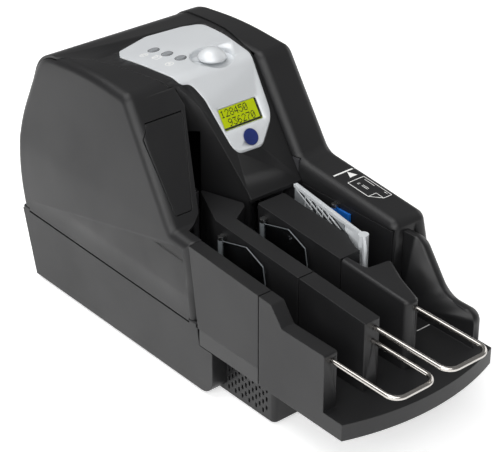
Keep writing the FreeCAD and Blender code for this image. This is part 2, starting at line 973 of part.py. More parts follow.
def ink_door_pins():
    """The two short pins of the ink door."""
    length = 2 * door_pin_grip + door_gap
    start = door_left - door_gap - door_pin_grip
    end = door_right + door_gap + door_pin_grip
    pins = [door_hinge(start, start + length, door_pin_radius)]
    pins.append(door_hinge(end - length, end, door_pin_radius))
    return Part.makeCompound(pins)


def panel_outline():
    """Outline of the silver control panel, seen from above."""
    corners = []
    for width_share, length_share, radius in panel_shares:
        across = panel_left + panel_width * width_share
        corners.append((across, panel_rear_ahead + panel_length * length_share, radius))
    return corners


def oval(across, ahead, half_across, half_ahead, low, high):
    """Make an upright prism with an oval outline."""
    if half_across < half_ahead:
        curve = Part.Ellipse(spot(across, ahead, low), half_ahead, half_across)
        face = Part.Face(Part.Wire(curve.toShape()))
        face.rotate(spot(across, ahead, low), Vector(0, 0, 1), 90)
    else:
        curve = Part.Ellipse(spot(across, ahead, low), half_across, half_ahead)
        face = Part.Face(Part.Wire(curve.toShape()))
    return face.extrude(Vector(0, 0, high - low))


def panel_prism(growth):
    """Fill the panel's outline from the slope's foot to above the crown."""
    return up_prism(panel_outline(), panel_low_height, far_height, growth)


def dish_prism(growth):
    """Fill the joystick's oval dish, seen from above."""
    long_half = dish_half_long + growth
    wide_half = dish_half_wide + growth
    return oval(knob_across, knob_ahead, long_half, wide_half, panel_low_height, far_height)


def light_prisms(growth):
    """Fill the outlines of the three status lights."""
    prisms = []
    for index in range(light_count):
        across = light_one_across + index * light_step_across
        ahead = light_one_ahead + index * light_step_ahead
        long_half = light_half_long + growth
        wide_half = light_half_wide + growth
        prisms.append(oval(across, ahead, long_half, wide_half, panel_low_height, far_height))
    return prisms


def display_corners():
    """Outline of the display opening, down the slope."""
    top = slope_drop(display_top_ahead)
    end = display_left + display_width
    return [
        (display_left, top, display_corner_radius),
        (end, top, display_corner_radius),
        (end, top + display_height, display_corner_radius),
        (display_left, top + display_height, display_corner_radius),
    ]


def display_prism(growth, low, high):
    """Fill the display opening grown on every side."""
    return slope_prism(display_corners(), low, high, growth)


def display_rim():
    """Fill the sloping rim of the display opening, wider towards the top of the panel."""
    wires = []
    for share in (0, display_rim_share):
        rise = share * panel_thickness - panel_sink
        wire = rounded_wire(display_corners(), lambda across, drop, rise=rise: on_slope(across, drop, rise))
        wires.append(grown(wire, share * display_bevel))
    return Part.makeLoft(wires, True)


def centre_region():
    """Fill the centre cover's place, seen from above."""
    half = seam_gap / 2
    corners = [
        (left_seam_rear + half, -rear_knee_back - overrun, 0),
        (right_seam_rear - half, -rear_knee_back - overrun, 0),
        (right_seam_mid - half, right_seam_mid_ahead, 0),
        (right_inner_across - half, slope_top_ahead, 0),
        (right_inner_across - half, slope_foot_ahead, 0),
        (fall_edge_low, slope_foot_ahead, 0),
        (fall_edge_low, fall_edge_low_ahead, 0),
        (fall_edge_mid, fall_edge_mid_ahead, 0),
        (fall_edge_upper, fall_edge_upper_ahead, 0),
        (fall_edge_top, left_seam_front_ahead, 0),
        (left_seam_front + half, left_seam_front_ahead - half, 0),
        (left_seam_bend + half, left_seam_bend_ahead, 0),
        (left_seam_mid + half, left_seam_mid_ahead, 0),
    ]
    return up_prism(corners, 0, far_height)


def fall_wall():
    """Fill the wall under the edge where the documents leave, with a lintel over the track."""
    lintel = [
        (fall_edge_top, left_seam_front_ahead, 0),
        (fall_edge_upper, fall_edge_upper_ahead, 0),
        (fall_edge_upper + wall, fall_edge_upper_ahead, 0),
        (fall_edge_top + wall, left_seam_front_ahead, 0),
    ]
    side = [
        (fall_edge_upper, fall_edge_upper_ahead, 0),
        (fall_edge_mid, fall_edge_mid_ahead, 0),
        (fall_edge_low, fall_edge_low_ahead, 0),
        (fall_edge_low + wall, fall_edge_low_ahead, 0),
        (fall_edge_mid + wall, fall_edge_mid_ahead, 0),
        (fall_edge_upper + wall, fall_edge_upper_ahead, 0),
    ]
    upper = up_prism(lintel, fall_lintel_bottom, far_height)
    return upper.fuse(up_prism(side, fall_wall_bottom, far_height))


def centre_cover():
    """The fixed centre cover: rear wall, crown and slope."""
    outer = skin_block(0)
    cover = outer.cut(skin_block(wall)).common(centre_region()).common(above_seam())
    cover = cover.fuse(outer.common(fall_wall()))
    cover = cover.cut(panel_prism(clearance).cut(skin_block(panel_sink)))
    cover = cover.cut(dish_prism(dish_wall + clearance))
    cover = cover.cut(display_prism(display_frame, -wall - overrun, overrun))
    for light in light_prisms(clearance):
        cover = cover.cut(light)
    return cover


def control_panel():
    """The silver panel with the joystick's dish and the openings in it."""
    top = skin_block(panel_sink - panel_thickness)
    panel = top.cut(skin_block(panel_sink)).common(panel_prism(0))
    cup = dish_prism(dish_wall).common(top).cut(skin_block(dish_depth + dish_wall))
    panel = panel.cut(dish_prism(0)).fuse(cup.cut(dish_prism(0).cut(skin_block(dish_depth))))
    stem = knob_stem_radius + clearance
    panel = panel.cut(post(knob_across, knob_ahead, panel_low_height, far_height, stem))
    panel = panel.cut(display_prism(0, -overrun, overrun)).cut(display_rim())
    for light in light_prisms(running_fit):
        panel = panel.cut(light)
    return panel.cut(badge_block(running_fit))


def badge_block(growth):
    """Fill the round badge, square to the slope."""
    base = on_slope(badge_across, slope_drop(badge_ahead), panel_thickness - panel_sink - badge_depth)
    return Part.makeCylinder(badge_radius + growth, badge_depth + badge_rise, base, slope_normal)


def status_lights():
    """The three oval light pipes in the panel."""
    top = skin_block(panel_sink - panel_thickness - light_rise)
    body = top.cut(skin_block(light_depth))
    return Part.makeCompound([light.common(body) for light in light_prisms(0)])


def display_window():
    """The clear window, sunk a little below the panel."""
    high = panel_thickness - panel_sink - display_recess
    return display_prism(display_frame - clearance, high - display_window_thickness, high).common(
        display_prism(-clearance, -overrun, overrun).fuse(
            display_prism(display_frame - clearance, -overrun, -panel_sink)
        )
    )


def display_module():
    """The display behind the window, fastened under the slope."""
    high = panel_thickness - panel_sink - display_recess - display_window_thickness
    face = display_prism(display_frame - clearance, -wall, high)
    face = face.common(display_prism(display_frame, -overrun, -panel_sink).fuse(
        display_prism(-clearance, -overrun, overrun)))
    body = display_prism(display_module_margin, -wall - display_module_depth, -wall)
    return joined([body, face])


def joystick_knob():
    """The domed knob on its stem."""
    floor = knob_floor()
    ball = (knob_radius ** 2 + knob_rise ** 2) / (2 * knob_rise)
    skirt_low = floor + knob_press + clearance
    dome_low = skirt_low + knob_sink
    dome = Part.makeSphere(ball, spot(knob_across, knob_ahead, dome_low + knob_rise - ball))
    dome = dome.common(post(knob_across, knob_ahead, dome_low, far_height, knob_radius))
    skirt = post(knob_across, knob_ahead, skirt_low, dome_low, knob_radius)
    stem = post(knob_across, knob_ahead, stem_low(), skirt_low, knob_stem_radius)
    return joined([dome, skirt, stem])


def crown_up(ahead):
    """Height of the crown's flat part at a place."""
    share = (ahead - crown_mid_ahead) / (slope_top_ahead - crown_mid_ahead)
    return crown_mid_height + share * (slope_top_height - crown_mid_height)


def knob_floor():
    """Highest point of the dish's floor under the knob."""
    fall = (crown_mid_height - slope_top_height) / (slope_top_ahead - crown_mid_ahead)
    return crown_up(knob_ahead) + fall * knob_radius - dish_depth


def switch_top():
    """Top of the switch housing under the dish."""
    return crown_up(knob_ahead + switch_size / 2) - dish_depth - dish_wall - clearance


def stem_low():
    """Lowest point of the knob's stem at rest."""
    return switch_top() - switch_height / 2


def joystick_base():
    """The switch housing under the dish, with a well for the stem."""
    half = switch_size / 2
    body = box(
        (knob_across - half, knob_across + half),
        (knob_ahead - half, knob_ahead + half),
        (switch_top() - switch_height, switch_top()),
    )
    well = stem_low() - knob_press - clearance
    return body.cut(post(knob_across, knob_ahead, well, far_height, knob_stem_radius + clearance))


def badge_disc():
    """The plain round badge on the slope."""
    return badge_block(0)


def right_region():
    """Fill the right cover's place, seen from above."""
    half = seam_gap / 2
    tray_ahead = right_wall_rear_ahead - right_tray_gap
    corners = [
        (right_seam_rear + half, -rear_knee_back - overrun, 0),
        (body_width + overrun, -rear_knee_back - overrun, 0),
        (body_width + overrun, front_reach, 0),
        (tower_across, front_reach, 0),
        (tower_across, tray_ahead, 0),
        (right_inner_across, tray_ahead, 0),
        (right_inner_across, slope_top_ahead, 0),
        (right_seam_mid + half, right_seam_mid_ahead, 0),
    ]
    return up_prism(corners, 0, far_height)


def right_cover():
    """The right cover, hinged along its lower outer edge."""
    outer = right_block(0)
    hollow = right_block(wall)
    rear = (-rear_knee_back - overrun, slope_top_ahead)
    opened = across_prism(right_side, right_inner_across - overrun, body_width - side_edge_radius, -wall)
    hollow = hollow.fuse(opened.common(box((0, body_width), rear, (0, far_height))))
    cover = outer.cut(hollow).common(right_region())
    tray_ahead = right_wall_rear_ahead - right_tray_gap
    front = box((right_inner_across, tower_across), (tray_ahead - wall, tray_ahead), (0, far_height))
    cover = cover.fuse(outer.common(front)).common(above_seam())
    lip_end = right_inner_across + wall + match_tolerance
    lip = (right_inner_across - overrun, lip_end)
    over_guide = deck_top + track_height + seam_gap
    guide_ahead = (0, track_right_end + clearance)
    cover = cover.cut(box(lip, guide_ahead, (0, over_guide)))
    cover = cover.cut(box(lip, (track_right_end, tray_ahead - wall), (0, plate_top + seam_gap)))
    over_slab = box((0, tower_across), (deck_front_ahead, front_reach), (0, slab_top + seam_gap))
    cover = cover.cut(over_slab)
    return hinged(cover, right_hinge[0], right_hinge[1], hinge_rear_ahead, right_hinge_front)


# Lower housing

def tub_side(rise):
    """Outline of the lower housing, with its rim raised above the seam."""
    rear_rim = seam(rear_face(seam_height)) + rise
    front_rim = seam(shell_front_ahead) + rise
    return [
        (0, foot_height, 0),
        (skirt_front_ahead, foot_height, skirt_corner_radius),
        (skirt_front_ahead, skirt_top, skirt_edge_radius),
        (shell_front(skirt_top), skirt_top, 0),
        (shell_front(front_rim), front_rim, 0),
        (rear_face(rear_rim), rear_rim, 0),
    ]


def tower_side(rise):
    """Outline of the housing's longer right side, with its rim raised."""
    front = right_front(seam(right_front_ahead))
    middle = shell_front_ahead - overrun
    return [
        (middle, foot_height, 0),
        (front, foot_height, skirt_corner_radius),
        (front, seam(front) + rise, 0),
        (middle, seam(middle) + rise, 0),
    ]


def vent_prism(inset, low, high):
    """Fill the vent box's outline, inset from its walls."""
    rear = skirt_front_ahead - vent_lap
    radius = vent_corner_radius - inset
    corners = [
        (vent_inset + inset, rear - inset, 0),
        (vent_right_across - inset, rear - inset, 0),
        (vent_right_across - inset, vent_front_ahead - inset, radius),
        (vent_inset + inset, vent_front_ahead - inset, radius),
    ]
    return up_prism(corners, low, high)


def foot_places():
    """Places of the four feet: two under the housing and two under the vent box."""
    vent_ahead = vent_front_ahead - foot_front_margin
    vent_right = vent_right_across - foot_front_margin
    return [
        (foot_inset, foot_rear_ahead),
        (body_width - foot_inset, foot_rear_ahead),
        (vent_inset + foot_front_margin, vent_ahead),
        (vent_right, vent_ahead),
    ]


def foot_posts(growth):
    """Fill the four feet up to their seats."""
    top = foot_height + foot_seat
    return [post(across, ahead, 0, top, foot_radius + growth) for across, ahead in foot_places()]


def port_box(across, width, gap):
    """Fill one rear socket's place above the board."""
    low = board_up + board_thickness
    sides = (across - width / 2 - gap, across + width / 2 + gap)
    return box(sides, (-rear_knee_back, port_depth + gap), (low - gap, low + port_height + gap))


def board_posts():
    """Stand the four posts that carry the main board."""
    floor = foot_height + wall
    posts = []
    for across in (board_left + board_post_inset, board_right - board_post_inset):
        for ahead in (board_rear_ahead + board_post_inset, board_front_ahead - board_post_inset):
            posts.append(post(across, ahead, floor, board_up, board_post_radius))
    return posts


def deck_posts():
    """Stand the four posts that carry the deck."""
    floor = foot_height + wall
    posts = []
    for across in (post_inset, body_width - post_inset):
        for ahead in (post_rear_ahead, post_front_ahead):
            posts.append(post(across, ahead, floor, deck_height, post_radius))
    return posts


def lower_housing():
    """The open tub under the covers, with its posts and hinge ears."""
    raised = wall + overrun
    tub = across_prism(tub_side(0), 0, body_width)
    tub = tub.fuse(across_prism(tower_side(0), tower_across, body_width))
    tub = tub.cut(across_prism(tub_side(raised), wall, body_width - wall, -wall))
    tub = tub.cut(across_prism(tower_side(raised), tower_across + wall, body_width - wall, -wall))
    tub = tub.cut(vent_prism(0, 0, slab_bottom))
    bay = (pocket_wall_width + seam_gap, bay_width + clearance)
    tub = tub.cut(box(bay, (deck_front_ahead, bay_front_ahead), (slab_bottom, far_height)))
    ears = hinge_ears(left_hinge[0], (0, hinge_width), hinge_rear_ahead, left_hinge_front)
    right_band = (body_width - hinge_width, body_width)
    ears += hinge_ears(right_hinge[0], right_band, hinge_rear_ahead, right_hinge_front)
    tub = tub.fuse(ears + deck_posts() + board_posts())
    for foot in foot_posts(running_fit):
        tub = tub.cut(foot)
    tub = tub.cut(port_box(port_across, port_width, port_gap))
    return tub.cut(port_box(usb_across, usb_width, port_gap)).removeSplitter()


def left_hinge_pins():
    """The two pins of the left cover."""
    return hinge_pins(left_hinge[0], hinge_rear_ahead, left_hinge_front)


def right_hinge_pins():
    """The two pins of the right cover."""
    return hinge_pins(right_hinge[0], hinge_rear_ahead, right_hinge_front)


def vent_slots():
    """Fill the staggered vent slots through both sides of the vent box."""
    slots = []
    half = vent_hole_width / 2
    for row in range(vent_rows):
        for column in range(vent_columns):
            stagger = vent_pitch_along / 2 * (row % 2)
            ahead = vent_holes_rear_ahead + column * vent_pitch_along + stagger
            low = vent_holes_low + row * vent_row_step - vent_hole_height / 2
            corners = [
                (ahead - half, low, half),
                (ahead + half, low, half),
                (ahead + half, low + vent_hole_height, half),
                (ahead - half, low + vent_hole_height, half),
            ]
            slots.append(across_prism(corners, vent_inset - overrun, vent_right_across + overrun))
    return slots


def vent_box():
    """The vented box under the pocket bay, open towards the housing."""
    shell = vent_prism(0, foot_height, slab_bottom)
    shell = shell.cut(vent_prism(vent_wall, foot_height + vent_wall, far_height))
    for foot in foot_posts(running_fit):
        shell = shell.cut(foot)
    return shell.cut(Part.makeCompound(vent_slots()))


def rubber_feet():
    """The four rubber feet."""
    return Part.makeCompound(foot_posts(0))


# Pocket bay

def under_top(drop):
    """Fill the space below the line that the pocket walls end on."""
    rear = wedge_tip_ahead - overrun
    corners = [
        (rear, 0, 0),
        (front_reach, 0, 0),
        (front_reach, top_line(front_reach) - drop, 0),
        (rear, top_line(rear) - drop, 0),
    ]
    return across_prism(corners, -overrun, body_width + overrun)


def hollow_wall(corners):
    """Stand a pocket wall on the slab, hollow from below."""
    body = up_prism(corners, slab_top, far_height).common(under_top(0))
    core = up_prism(corners, slab_top - overrun, far_height, -divider_wall)
    return body.cut(core.common(under_top(divider_wall)))


def slab_corners():
    """Outline of the pocket bay's floor, narrower inside the covers."""
    inner = pocket_wall_width + seam_gap + clearance
    ahead = shell_front(slab_bottom) + seam_gap
    return [
        (0, ahead, 0),
        (inner, ahead, 0),
        (inner, deck_front_ahead + deck_slab_gap, 0),
        (bay_width, deck_front_ahead + deck_slab_gap, 0),
        (bay_width, bay_front_ahead, 0),
        (0, bay_front_ahead, 0),
    ]


def tongues(growth, start):
    """Fill the two tongues that plug the tray into the pocket bay."""
    low = slab_bottom + slab_wall
    bars = []
    outer = tray_tongue_inset + tray_tongue_width
    for across in (tray_tongue_inset, bay_width - outer):
        sides = (across - growth, across + tray_tongue_width + growth)
        ahead = (start, front_rear_ahead + slab_wall)
        bars.append(box(sides, ahead, (low - growth, low + tray_tongue_height + growth)))
    return bars


def pocket_floor():
    """The floor slab of the pocket bay, hollow from below."""
    slab = up_prism(slab_corners(), slab_bottom, slab_top)
    slab = slab.cut(up_prism(slab_corners(), 0, slab_top - slab_wall, -slab_wall))
    for tongue in tongues(running_fit, bay_front_ahead - tray_tongue_length):
        slab = slab.cut(tongue)
    shaft = roller_shaft_radius + running_fit
    return slab.cut(post(feed_across(), feed_ahead, slab_bottom, slab_top, shaft))


def left_pocket_wall():
    """The outer wall of the first pocket."""
    rear = shell_front(slab_top) + pocket_wall_gap
    rear_top = shell_front_ahead + pocket_wall_gap
    corners = [(0, rear_top, 0), (pocket_wall_width, rear_top, 0)]
    corners += [(pocket_wall_width, bay_front_ahead, 0), (0, bay_front_ahead, 0)]
    body = hollow_wall(corners)
    lean = [
        (rear_top - overrun, slab_top, 0),
        (rear, slab_top, 0),
        (shell_front(far_height) + pocket_wall_gap, far_height, 0),
        (rear_top - overrun, far_height, 0),
    ]
    wedge = across_prism(lean, -overrun, pocket_wall_width + overrun)
    back = across_prism(lean, 0, pocket_wall_width)
    back.translate(Vector(0, -divider_wall, 0))
    closed = back.common(up_prism(corners, slab_top, far_height)).common(under_top(0))
    return body.fuse(closed).cut(wedge)


def pocket_divider_one():
    """The divider between the pockets, with the wedge that parts the documents."""
    right = divider_one_across + divider_one_width
    corners = [
        (divider_one_across, bay_front_ahead, divider_edge_radius),
        (divider_one_across, divider_one_rear_ahead, 0),
        (wedge_tip_across, wedge_tip_ahead, wedge_corner_radius),
        (wedge_right_across, wedge_right_ahead, wedge_corner_radius),
        (wedge_front_across, wedge_front_ahead, wedge_corner_radius),
        (right, divider_one_rear_ahead + divider_one_width / 2, 0),
        (right, bay_front_ahead, divider_edge_radius),
    ]
    return hollow_wall(corners)


def pocket_divider_two():
    """The wide divider between the second pocket and the hopper."""
    right = divider_two_across + divider_two_width
    corners = [
        (divider_two_across, divider_two_rear_ahead, wedge_corner_radius),
        (right, divider_two_rear_ahead, wedge_corner_radius),
        (right, divider_two_taper_ahead, 0),
        (divider_two_across + divider_two_taper_width, divider_two_taper_end, 0),
        (divider_two_across + divider_two_taper_width, bay_front_ahead, 0),
        (divider_two_across, bay_front_ahead, 0),
    ]
    return hollow_wall(corners)


def feed_across():
    """Where the feed roller's shaft stands."""
    return right_inner_across - feed_poke + feed_radius


def hopper_side_plate():
    """The plate beside the hopper, with the window for the feed roller."""
    start = plate_left
    sides = (start, start + plate_thickness)
    ahead = (plate_rear_ahead, plate_front_ahead)
    plate = box(sides, ahead, (slab_top, plate_top))
    reach = feed_radius + window_margin
    high = feed_low + feed_width + window_margin
    through = (start - overrun, start + overrun)
    window = box(through, (feed_ahead - reach, feed_ahead + reach), (feed_low - window_margin, high))
    return plate.cut(window)


# Front tray

def tray_slab(inset, low, high):
    """Fill the tray floor, with its bowed front edge, inset from every side."""
    rear = front_rear_ahead
    start = spot(inset, rear + inset, low)
    end = spot(bay_width - inset, rear + inset, low)
    right = spot(bay_width - inset, tray_corner_ahead - inset, low)
    front = spot(bay_width / 2, tray_corner_ahead + tray_crown - inset, low)
    left_front = spot(inset, tray_corner_ahead - inset, low)
    edges = [
        Part.LineSegment(start, end).toShape(),
        Part.LineSegment(end, right).toShape(),
        Part.Arc(right, front, left_front).toShape(),
        Part.LineSegment(left_front, start).toShape(),
    ]
    return Part.Face(Part.Wire(edges)).extrude(Vector(0, 0, high - low))


def front_tray():
    """The tray floor with its left and right walls and the tongues behind it."""
    slab = tray_slab(0, slab_bottom, slab_top)
    slab = slab.cut(tray_slab(slab_wall, 0, slab_top - slab_wall))
    notch = front_rear_ahead + front_wall_notch
    left_side_wall = [
        (front_rear_ahead, slab_top, 0),
        (front_wall_ahead, slab_top, 0),
        (front_wall_ahead, front_wall_top, front_edge_radius),
        (notch + front_wall_ramp, front_wall_top, front_edge_radius),
        (notch, top_line(notch), front_edge_radius),
        (front_rear_ahead, top_line(front_rear_ahead), 0),
    ]
    left_wall = across_prism(left_side_wall, 0, pocket_wall_width)
    left_wall = left_wall.cut(loop_bore(loop_one_left, loop_one_height, front_wall_ahead))
    right_side_wall = [
        (right_wall_rear_ahead, slab_top, 0),
        (right_wall_front_ahead, slab_top, 0),
        (right_wall_front_ahead, right_wall_low, right_wall_front_radius),
        (right_wall_foot_ahead, right_wall_low, right_wall_foot_radius),
        (right_wall_brow_ahead, right_wall_high, right_wall_brow_radius),
        (right_wall_rear_ahead, right_wall_high, 0),
    ]
    right_wall = across_prism(right_side_wall, right_wall_inner, bay_width)
    edge = left + bay_width
    rear = rear_line - right_wall_rear_ahead

    def on_outer_edge(point):
        return abs(point.x - edge) < match_tolerance

    ridge = []
    for line in right_wall.Edges:
        points = [vertex.Point for vertex in line.Vertexes]
        level = max(point.z for point in points) < slab_top + match_tolerance
        behind = min(point.y for point in points) > rear - match_tolerance
        if all(map(on_outer_edge, points)) and not level and not behind:
            ridge.append(line)
    right_wall = right_wall.makeFillet(right_wall_edge_radius, ridge)
    tray = slab.fuse([left_wall, right_wall] + tongues(0, bay_front_ahead - tray_tongue_length))
    return tray.removeSplitter()


def loop_bore(across, up, front):
    """Fill the hole that a wire loop's leg sits in."""
    start = spot(across, front + overrun, up)
    length = loop_socket_depth + overrun
    return Part.makeCylinder(wire_radius + running_fit, length, start, Vector(0, 1, 0))


def front_divider_one():
    """The narrow divider on the tray, bored for both wire loops."""
    right = divider_one_across + divider_one_width
    corners = [
        (divider_one_across, front_rear_ahead, 0),
        (right, front_rear_ahead, 0),
        (right, front_wall_ahead, divider_edge_radius),
        (divider_one_across, front_wall_ahead, divider_edge_radius),
    ]
    body = up_prism(corners, slab_top, far_height).common(under_top(0))
    body = body.cut(loop_bore(loop_one_right, loop_one_height, front_wall_ahead))
    return body.cut(loop_bore(loop_two_left, loop_two_height, front_wall_ahead))


def bulb_front():
    """How far ahead the bulb reaches where the second loop enters it."""
    share = (bulb_flank_across - loop_two_right) / (bulb_flank_across - bulb_nose_across)
    return bulb_flank_ahead + min(share, 1) * (front_wall_ahead - bulb_flank_ahead)


def front_divider_two():
    """The wide rounded divider on the tray, bored for the second wire loop."""
    corners = [
        (divider_two_across, front_rear_ahead, 0),
        (bulb_stem_across, front_rear_ahead, 0),
        (bulb_waist_across, bulb_waist_ahead, bulb_wing_radius),
        (bulb_wing_across, bulb_wing_ahead, bulb_wing_radius),
        (bulb_flank_across, bulb_flank_ahead, bulb_flank_radius),
        (bulb_nose_across, front_wall_ahead, bulb_nose_radius),
        (divider_two_across, front_wall_ahead, bulb_nose_radius),
    ]
    body = up_prism(corners, slab_top, far_height).common(under_top(0))
    low = top_line(front_wall_ahead) - match_tolerance

    def on_top(point):
        return point.z > low and rear_line - point.y > front_rear_ahead + match_tolerance

    ridge = []
    for edge in body.Edges:
        points = [vertex.Point for vertex in edge.Vertexes]
        if all(abs(point.z - top_line(rear_line - point.y)) < match_tolerance for point in points):
            if any(map(on_top, points)):
                ridge.append(edge)
    body = body.makeFillet(bulb_edge_radius, ridge)
    return body.cut(loop_bore(loop_two_right, loop_two_height, bulb_front()))


def wire_loop(left_leg, right_leg, up, reach):
    """Bend one steel wire loop; each leg is an (across, socket front) pair."""
    ahead = reach - loop_bend_radius
    starts = []
    pieces = []
    for across, front in (left_leg, right_leg):
        start = front - loop_socket_depth + clearance
        starts.append(across)
        base = spot(across, start, up)
        pieces.append(Part.makeCylinder(wire_radius, ahead - start, base, Vector(0, -1, 0)))
    near = starts[0] + loop_bend_radius
    far = starts[1] - loop_bend_radius
    pieces.append(rod((near, far), reach, up, wire_radius))
    for across, turn in ((near, 180), (far, 270)):
        centre = spot(across, ahead, up)
        bend = Part.makeTorus(loop_bend_radius, wire_radius, centre, Vector(0, 0, 1), 0, 360, 90)
        bend.rotate(centre, Vector(0, 0, 1), turn)
        pieces.append(bend)
    return joined(pieces)


def wire_loop_one():
    """The wire loop in front of the first pocket."""
    left_leg = (loop_one_left, front_wall_ahead)
    return wire_loop(left_leg, (loop_one_right, front_wall_ahead), loop_one_height, loop_one_reach)


def wire_loop_two():
    """The wire loop in front of the second pocket."""
    left_leg = (loop_two_left, front_wall_ahead)
    return wire_loop(left_leg, (loop_two_right, bulb_front()), loop_two_height, loop_two_reach)


# Moving pieces in the pockets

def flag(face):
    """A clear flag on a hub beside a divider, its top edge rising to a brow."""
    hub = face - flag_stand_off
    high = flag_low + flag_height
    tip_ahead = flag_hub_ahead + flag_toe_length
    plate = vane((hub, flag_hub_ahead), (hub, tip_ahead + overrun), flag_thickness, flag_low, far_height)
    profile = [
        (flag_hub_ahead, flag_low, 0),
        (flag_hub_ahead, high, 0),
        (flag_hub_ahead + flag_neck_length, high, 0),
        (flag_hub_ahead + flag_brow_length, high + flag_brow_rise, flag_corner_radius),
        (flag_hub_ahead + flag_chin_length, high - flag_chin_drop, flag_corner_radius),
        (tip_ahead, high - flag_toe_drop, 0),
        (tip_ahead, flag_low, 0),
    ]
    plate = plate.common(across_prism(profile, 0, body_width))
    body = joined([post(hub, flag_hub_ahead, flag_low, high, flag_hub_radius), plate])
    return body.cut(post(hub, flag_hub_ahead, flag_low, high, flag_pin_radius + running_fit))


def pocket_faces():
    """Right-hand faces of the two pockets, where the dividers stand."""
    return divider_one_across, divider_two_across


def flag_one():
    """The clear flag in the first pocket."""
    return flag(pocket_faces()[0])


def flag_two():
    """The clear flag in the second pocket."""
    return flag(pocket_faces()[1])


def bracketed_pin(face, across, ahead, low, high, radius, lug_radius, lug_height):
    """A pin held at both ends by lugs that stand off a face."""
    pin = post(across, ahead, low - clearance - lug_height, high + clearance + lug_height, radius)
    pieces = [pin]
    sides = (min(face, across), max(face, across))
    for start in (low - clearance - lug_height, high + clearance):
        lug = box(sides, (ahead - lug_radius, ahead + lug_radius), (start, start + lug_height))
        pieces.append(lug.fuse(post(across, ahead, start, start + lug_height, lug_radius)))
    return joined(pieces)


def flag_pins():
    """The two pins that the flags turn on, with their lugs."""
    pins = []
    for face in pocket_faces():
        hub = face - flag_stand_off
        low = flag_low
        high = flag_low + flag_height
        pins.append(bracketed_pin(
            face, hub, flag_hub_ahead, low, high, flag_pin_radius, flag_hub_radius, flag_bracket_height
        ))
    return Part.makeCompound(pins)


def pusher_paddle():
    """The grey paddle that presses the documents against the feed roller."""
    pivot = (paddle_pivot_across, paddle_pivot_ahead)
    tip = (paddle_tip_across, paddle_tip_ahead)
    grip = (paddle_grip_across, paddle_grip_ahead)
    run = math.hypot(tip[0] - pivot[0], tip[1] - pivot[1])
    along = ((tip[0] - pivot[0]) / run, (tip[1] - pivot[1]) / run)
    hub_low = slab_top + clearance
    pieces = [
        post(pivot[0], pivot[1], hub_low, paddle_top, paddle_hub_radius),
        vane(pivot, tip, paddle_plate, paddle_low, paddle_top),
        post(tip[0], tip[1], paddle_low, paddle_top, paddle_plate / 2),
    ]
    for index in range(paddle_rib_count):
        reach = paddle_rib_first + index * paddle_rib_pitch
        start = (pivot[0] + along[0] * reach, pivot[1] + along[1] * reach)
        end = (start[0] - paddle_rib, start[1] + along[0] * paddle_rib)
        low = paddle_low + paddle_rib_width
        pieces.append(vane(start, end, paddle_rib_width, low, paddle_top - paddle_rib_width))
    handle = vane(pivot, grip, paddle_plate, paddle_grip_low, paddle_top)
    rear = paddle_pivot_ahead - overrun
    shape = [
        (rear, paddle_grip_low, 0),
        (grip[1], paddle_grip_low, paddle_plate),
        (grip[1], paddle_top, paddle_grip_radius),
        (rear, paddle_top, 0),
    ]
    handle = handle.common(across_prism(shape, 0, body_width))
    pieces.append(handle)
    bore_top = paddle_top - paddle_plate
    bore = post(pivot[0], pivot[1], slab_top, bore_top, paddle_pin_radius + running_fit)
    return joined(pieces).cut(bore)


def paddle_pin():
    """The upright pin that the paddle turns on."""
    high = paddle_top - paddle_plate - clearance
    return post(paddle_pivot_across, paddle_pivot_ahead, slab_top, high, paddle_pin_radius)


def latch_across():
    """Where the latch lever's pin stands beside the hopper's plate."""
    return plate_left - latch_hub_radius - clearance


def latch_lever():
    """The small blue lever on the hopper's plate."""
    across = latch_across()
    high = latch_low + latch_height
    blade = plate_left - clearance - latch_plate / 2
    tip_ahead = latch_ahead + latch_length
    pieces = [
        post(across, latch_ahead, latch_low, high, latch_hub_radius),
        vane((blade, latch_ahead), (blade, tip_ahead), latch_plate, latch_low, high),
    ]
    return joined(pieces).cut(post(across, latch_ahead, latch_low, high, latch_pin_radius + running_fit))


def latch_pin():
    """The pin that the latch lever turns on, with its lugs."""
    high = latch_low + latch_height
    return bracketed_pin(
        plate_left, latch_across(), latch_ahead, latch_low, high,
        latch_pin_radius, latch_hub_radius, latch_bracket_height
    )


# Document track

def turned(radius, low, high, right_end, left_end):
    """Fill a hairpin of a radius: two legs joined by a half turn at the rear."""
    turn = post(track_across, track_turn_ahead, low, high, radius)
    middle = (track_across - match_tolerance, track_across + match_tolerance)
    right_leg = box((middle[0], track_across + radius), (track_turn_ahead, right_end), (low, high))
    left_leg = box((track_across - radius, middle[1]), (track_turn_ahead, left_end), (low, high))
    return turn.fuse([right_leg, left_leg])


def station_windows():
    """Fill the windows where the three roller pairs meet."""
    low = deck_top
    high = roller_low + roller_width + window_margin
    reach = roller_radius + window_margin
    inner = track_inner_radius - track_wall - window_margin
    outer = track_outer_radius + track_wall + window_margin
    right = (track_across + inner, track_across + outer)
    left_side = (track_across - outer, track_across - inner)
    rear = (track_turn_ahead - outer, track_turn_ahead - inner)
    right_ahead = (right_station_ahead - reach, right_station_ahead + reach)
    left_ahead = (left_station_ahead - reach, left_station_ahead + reach)
    rear_across = (track_across - reach, track_across + reach)
    levels = (low + window_margin, high)
    return [
        box(right, right_ahead, levels),
        box(left_side, left_ahead, levels),
        box(rear_across, rear, levels),
    ]


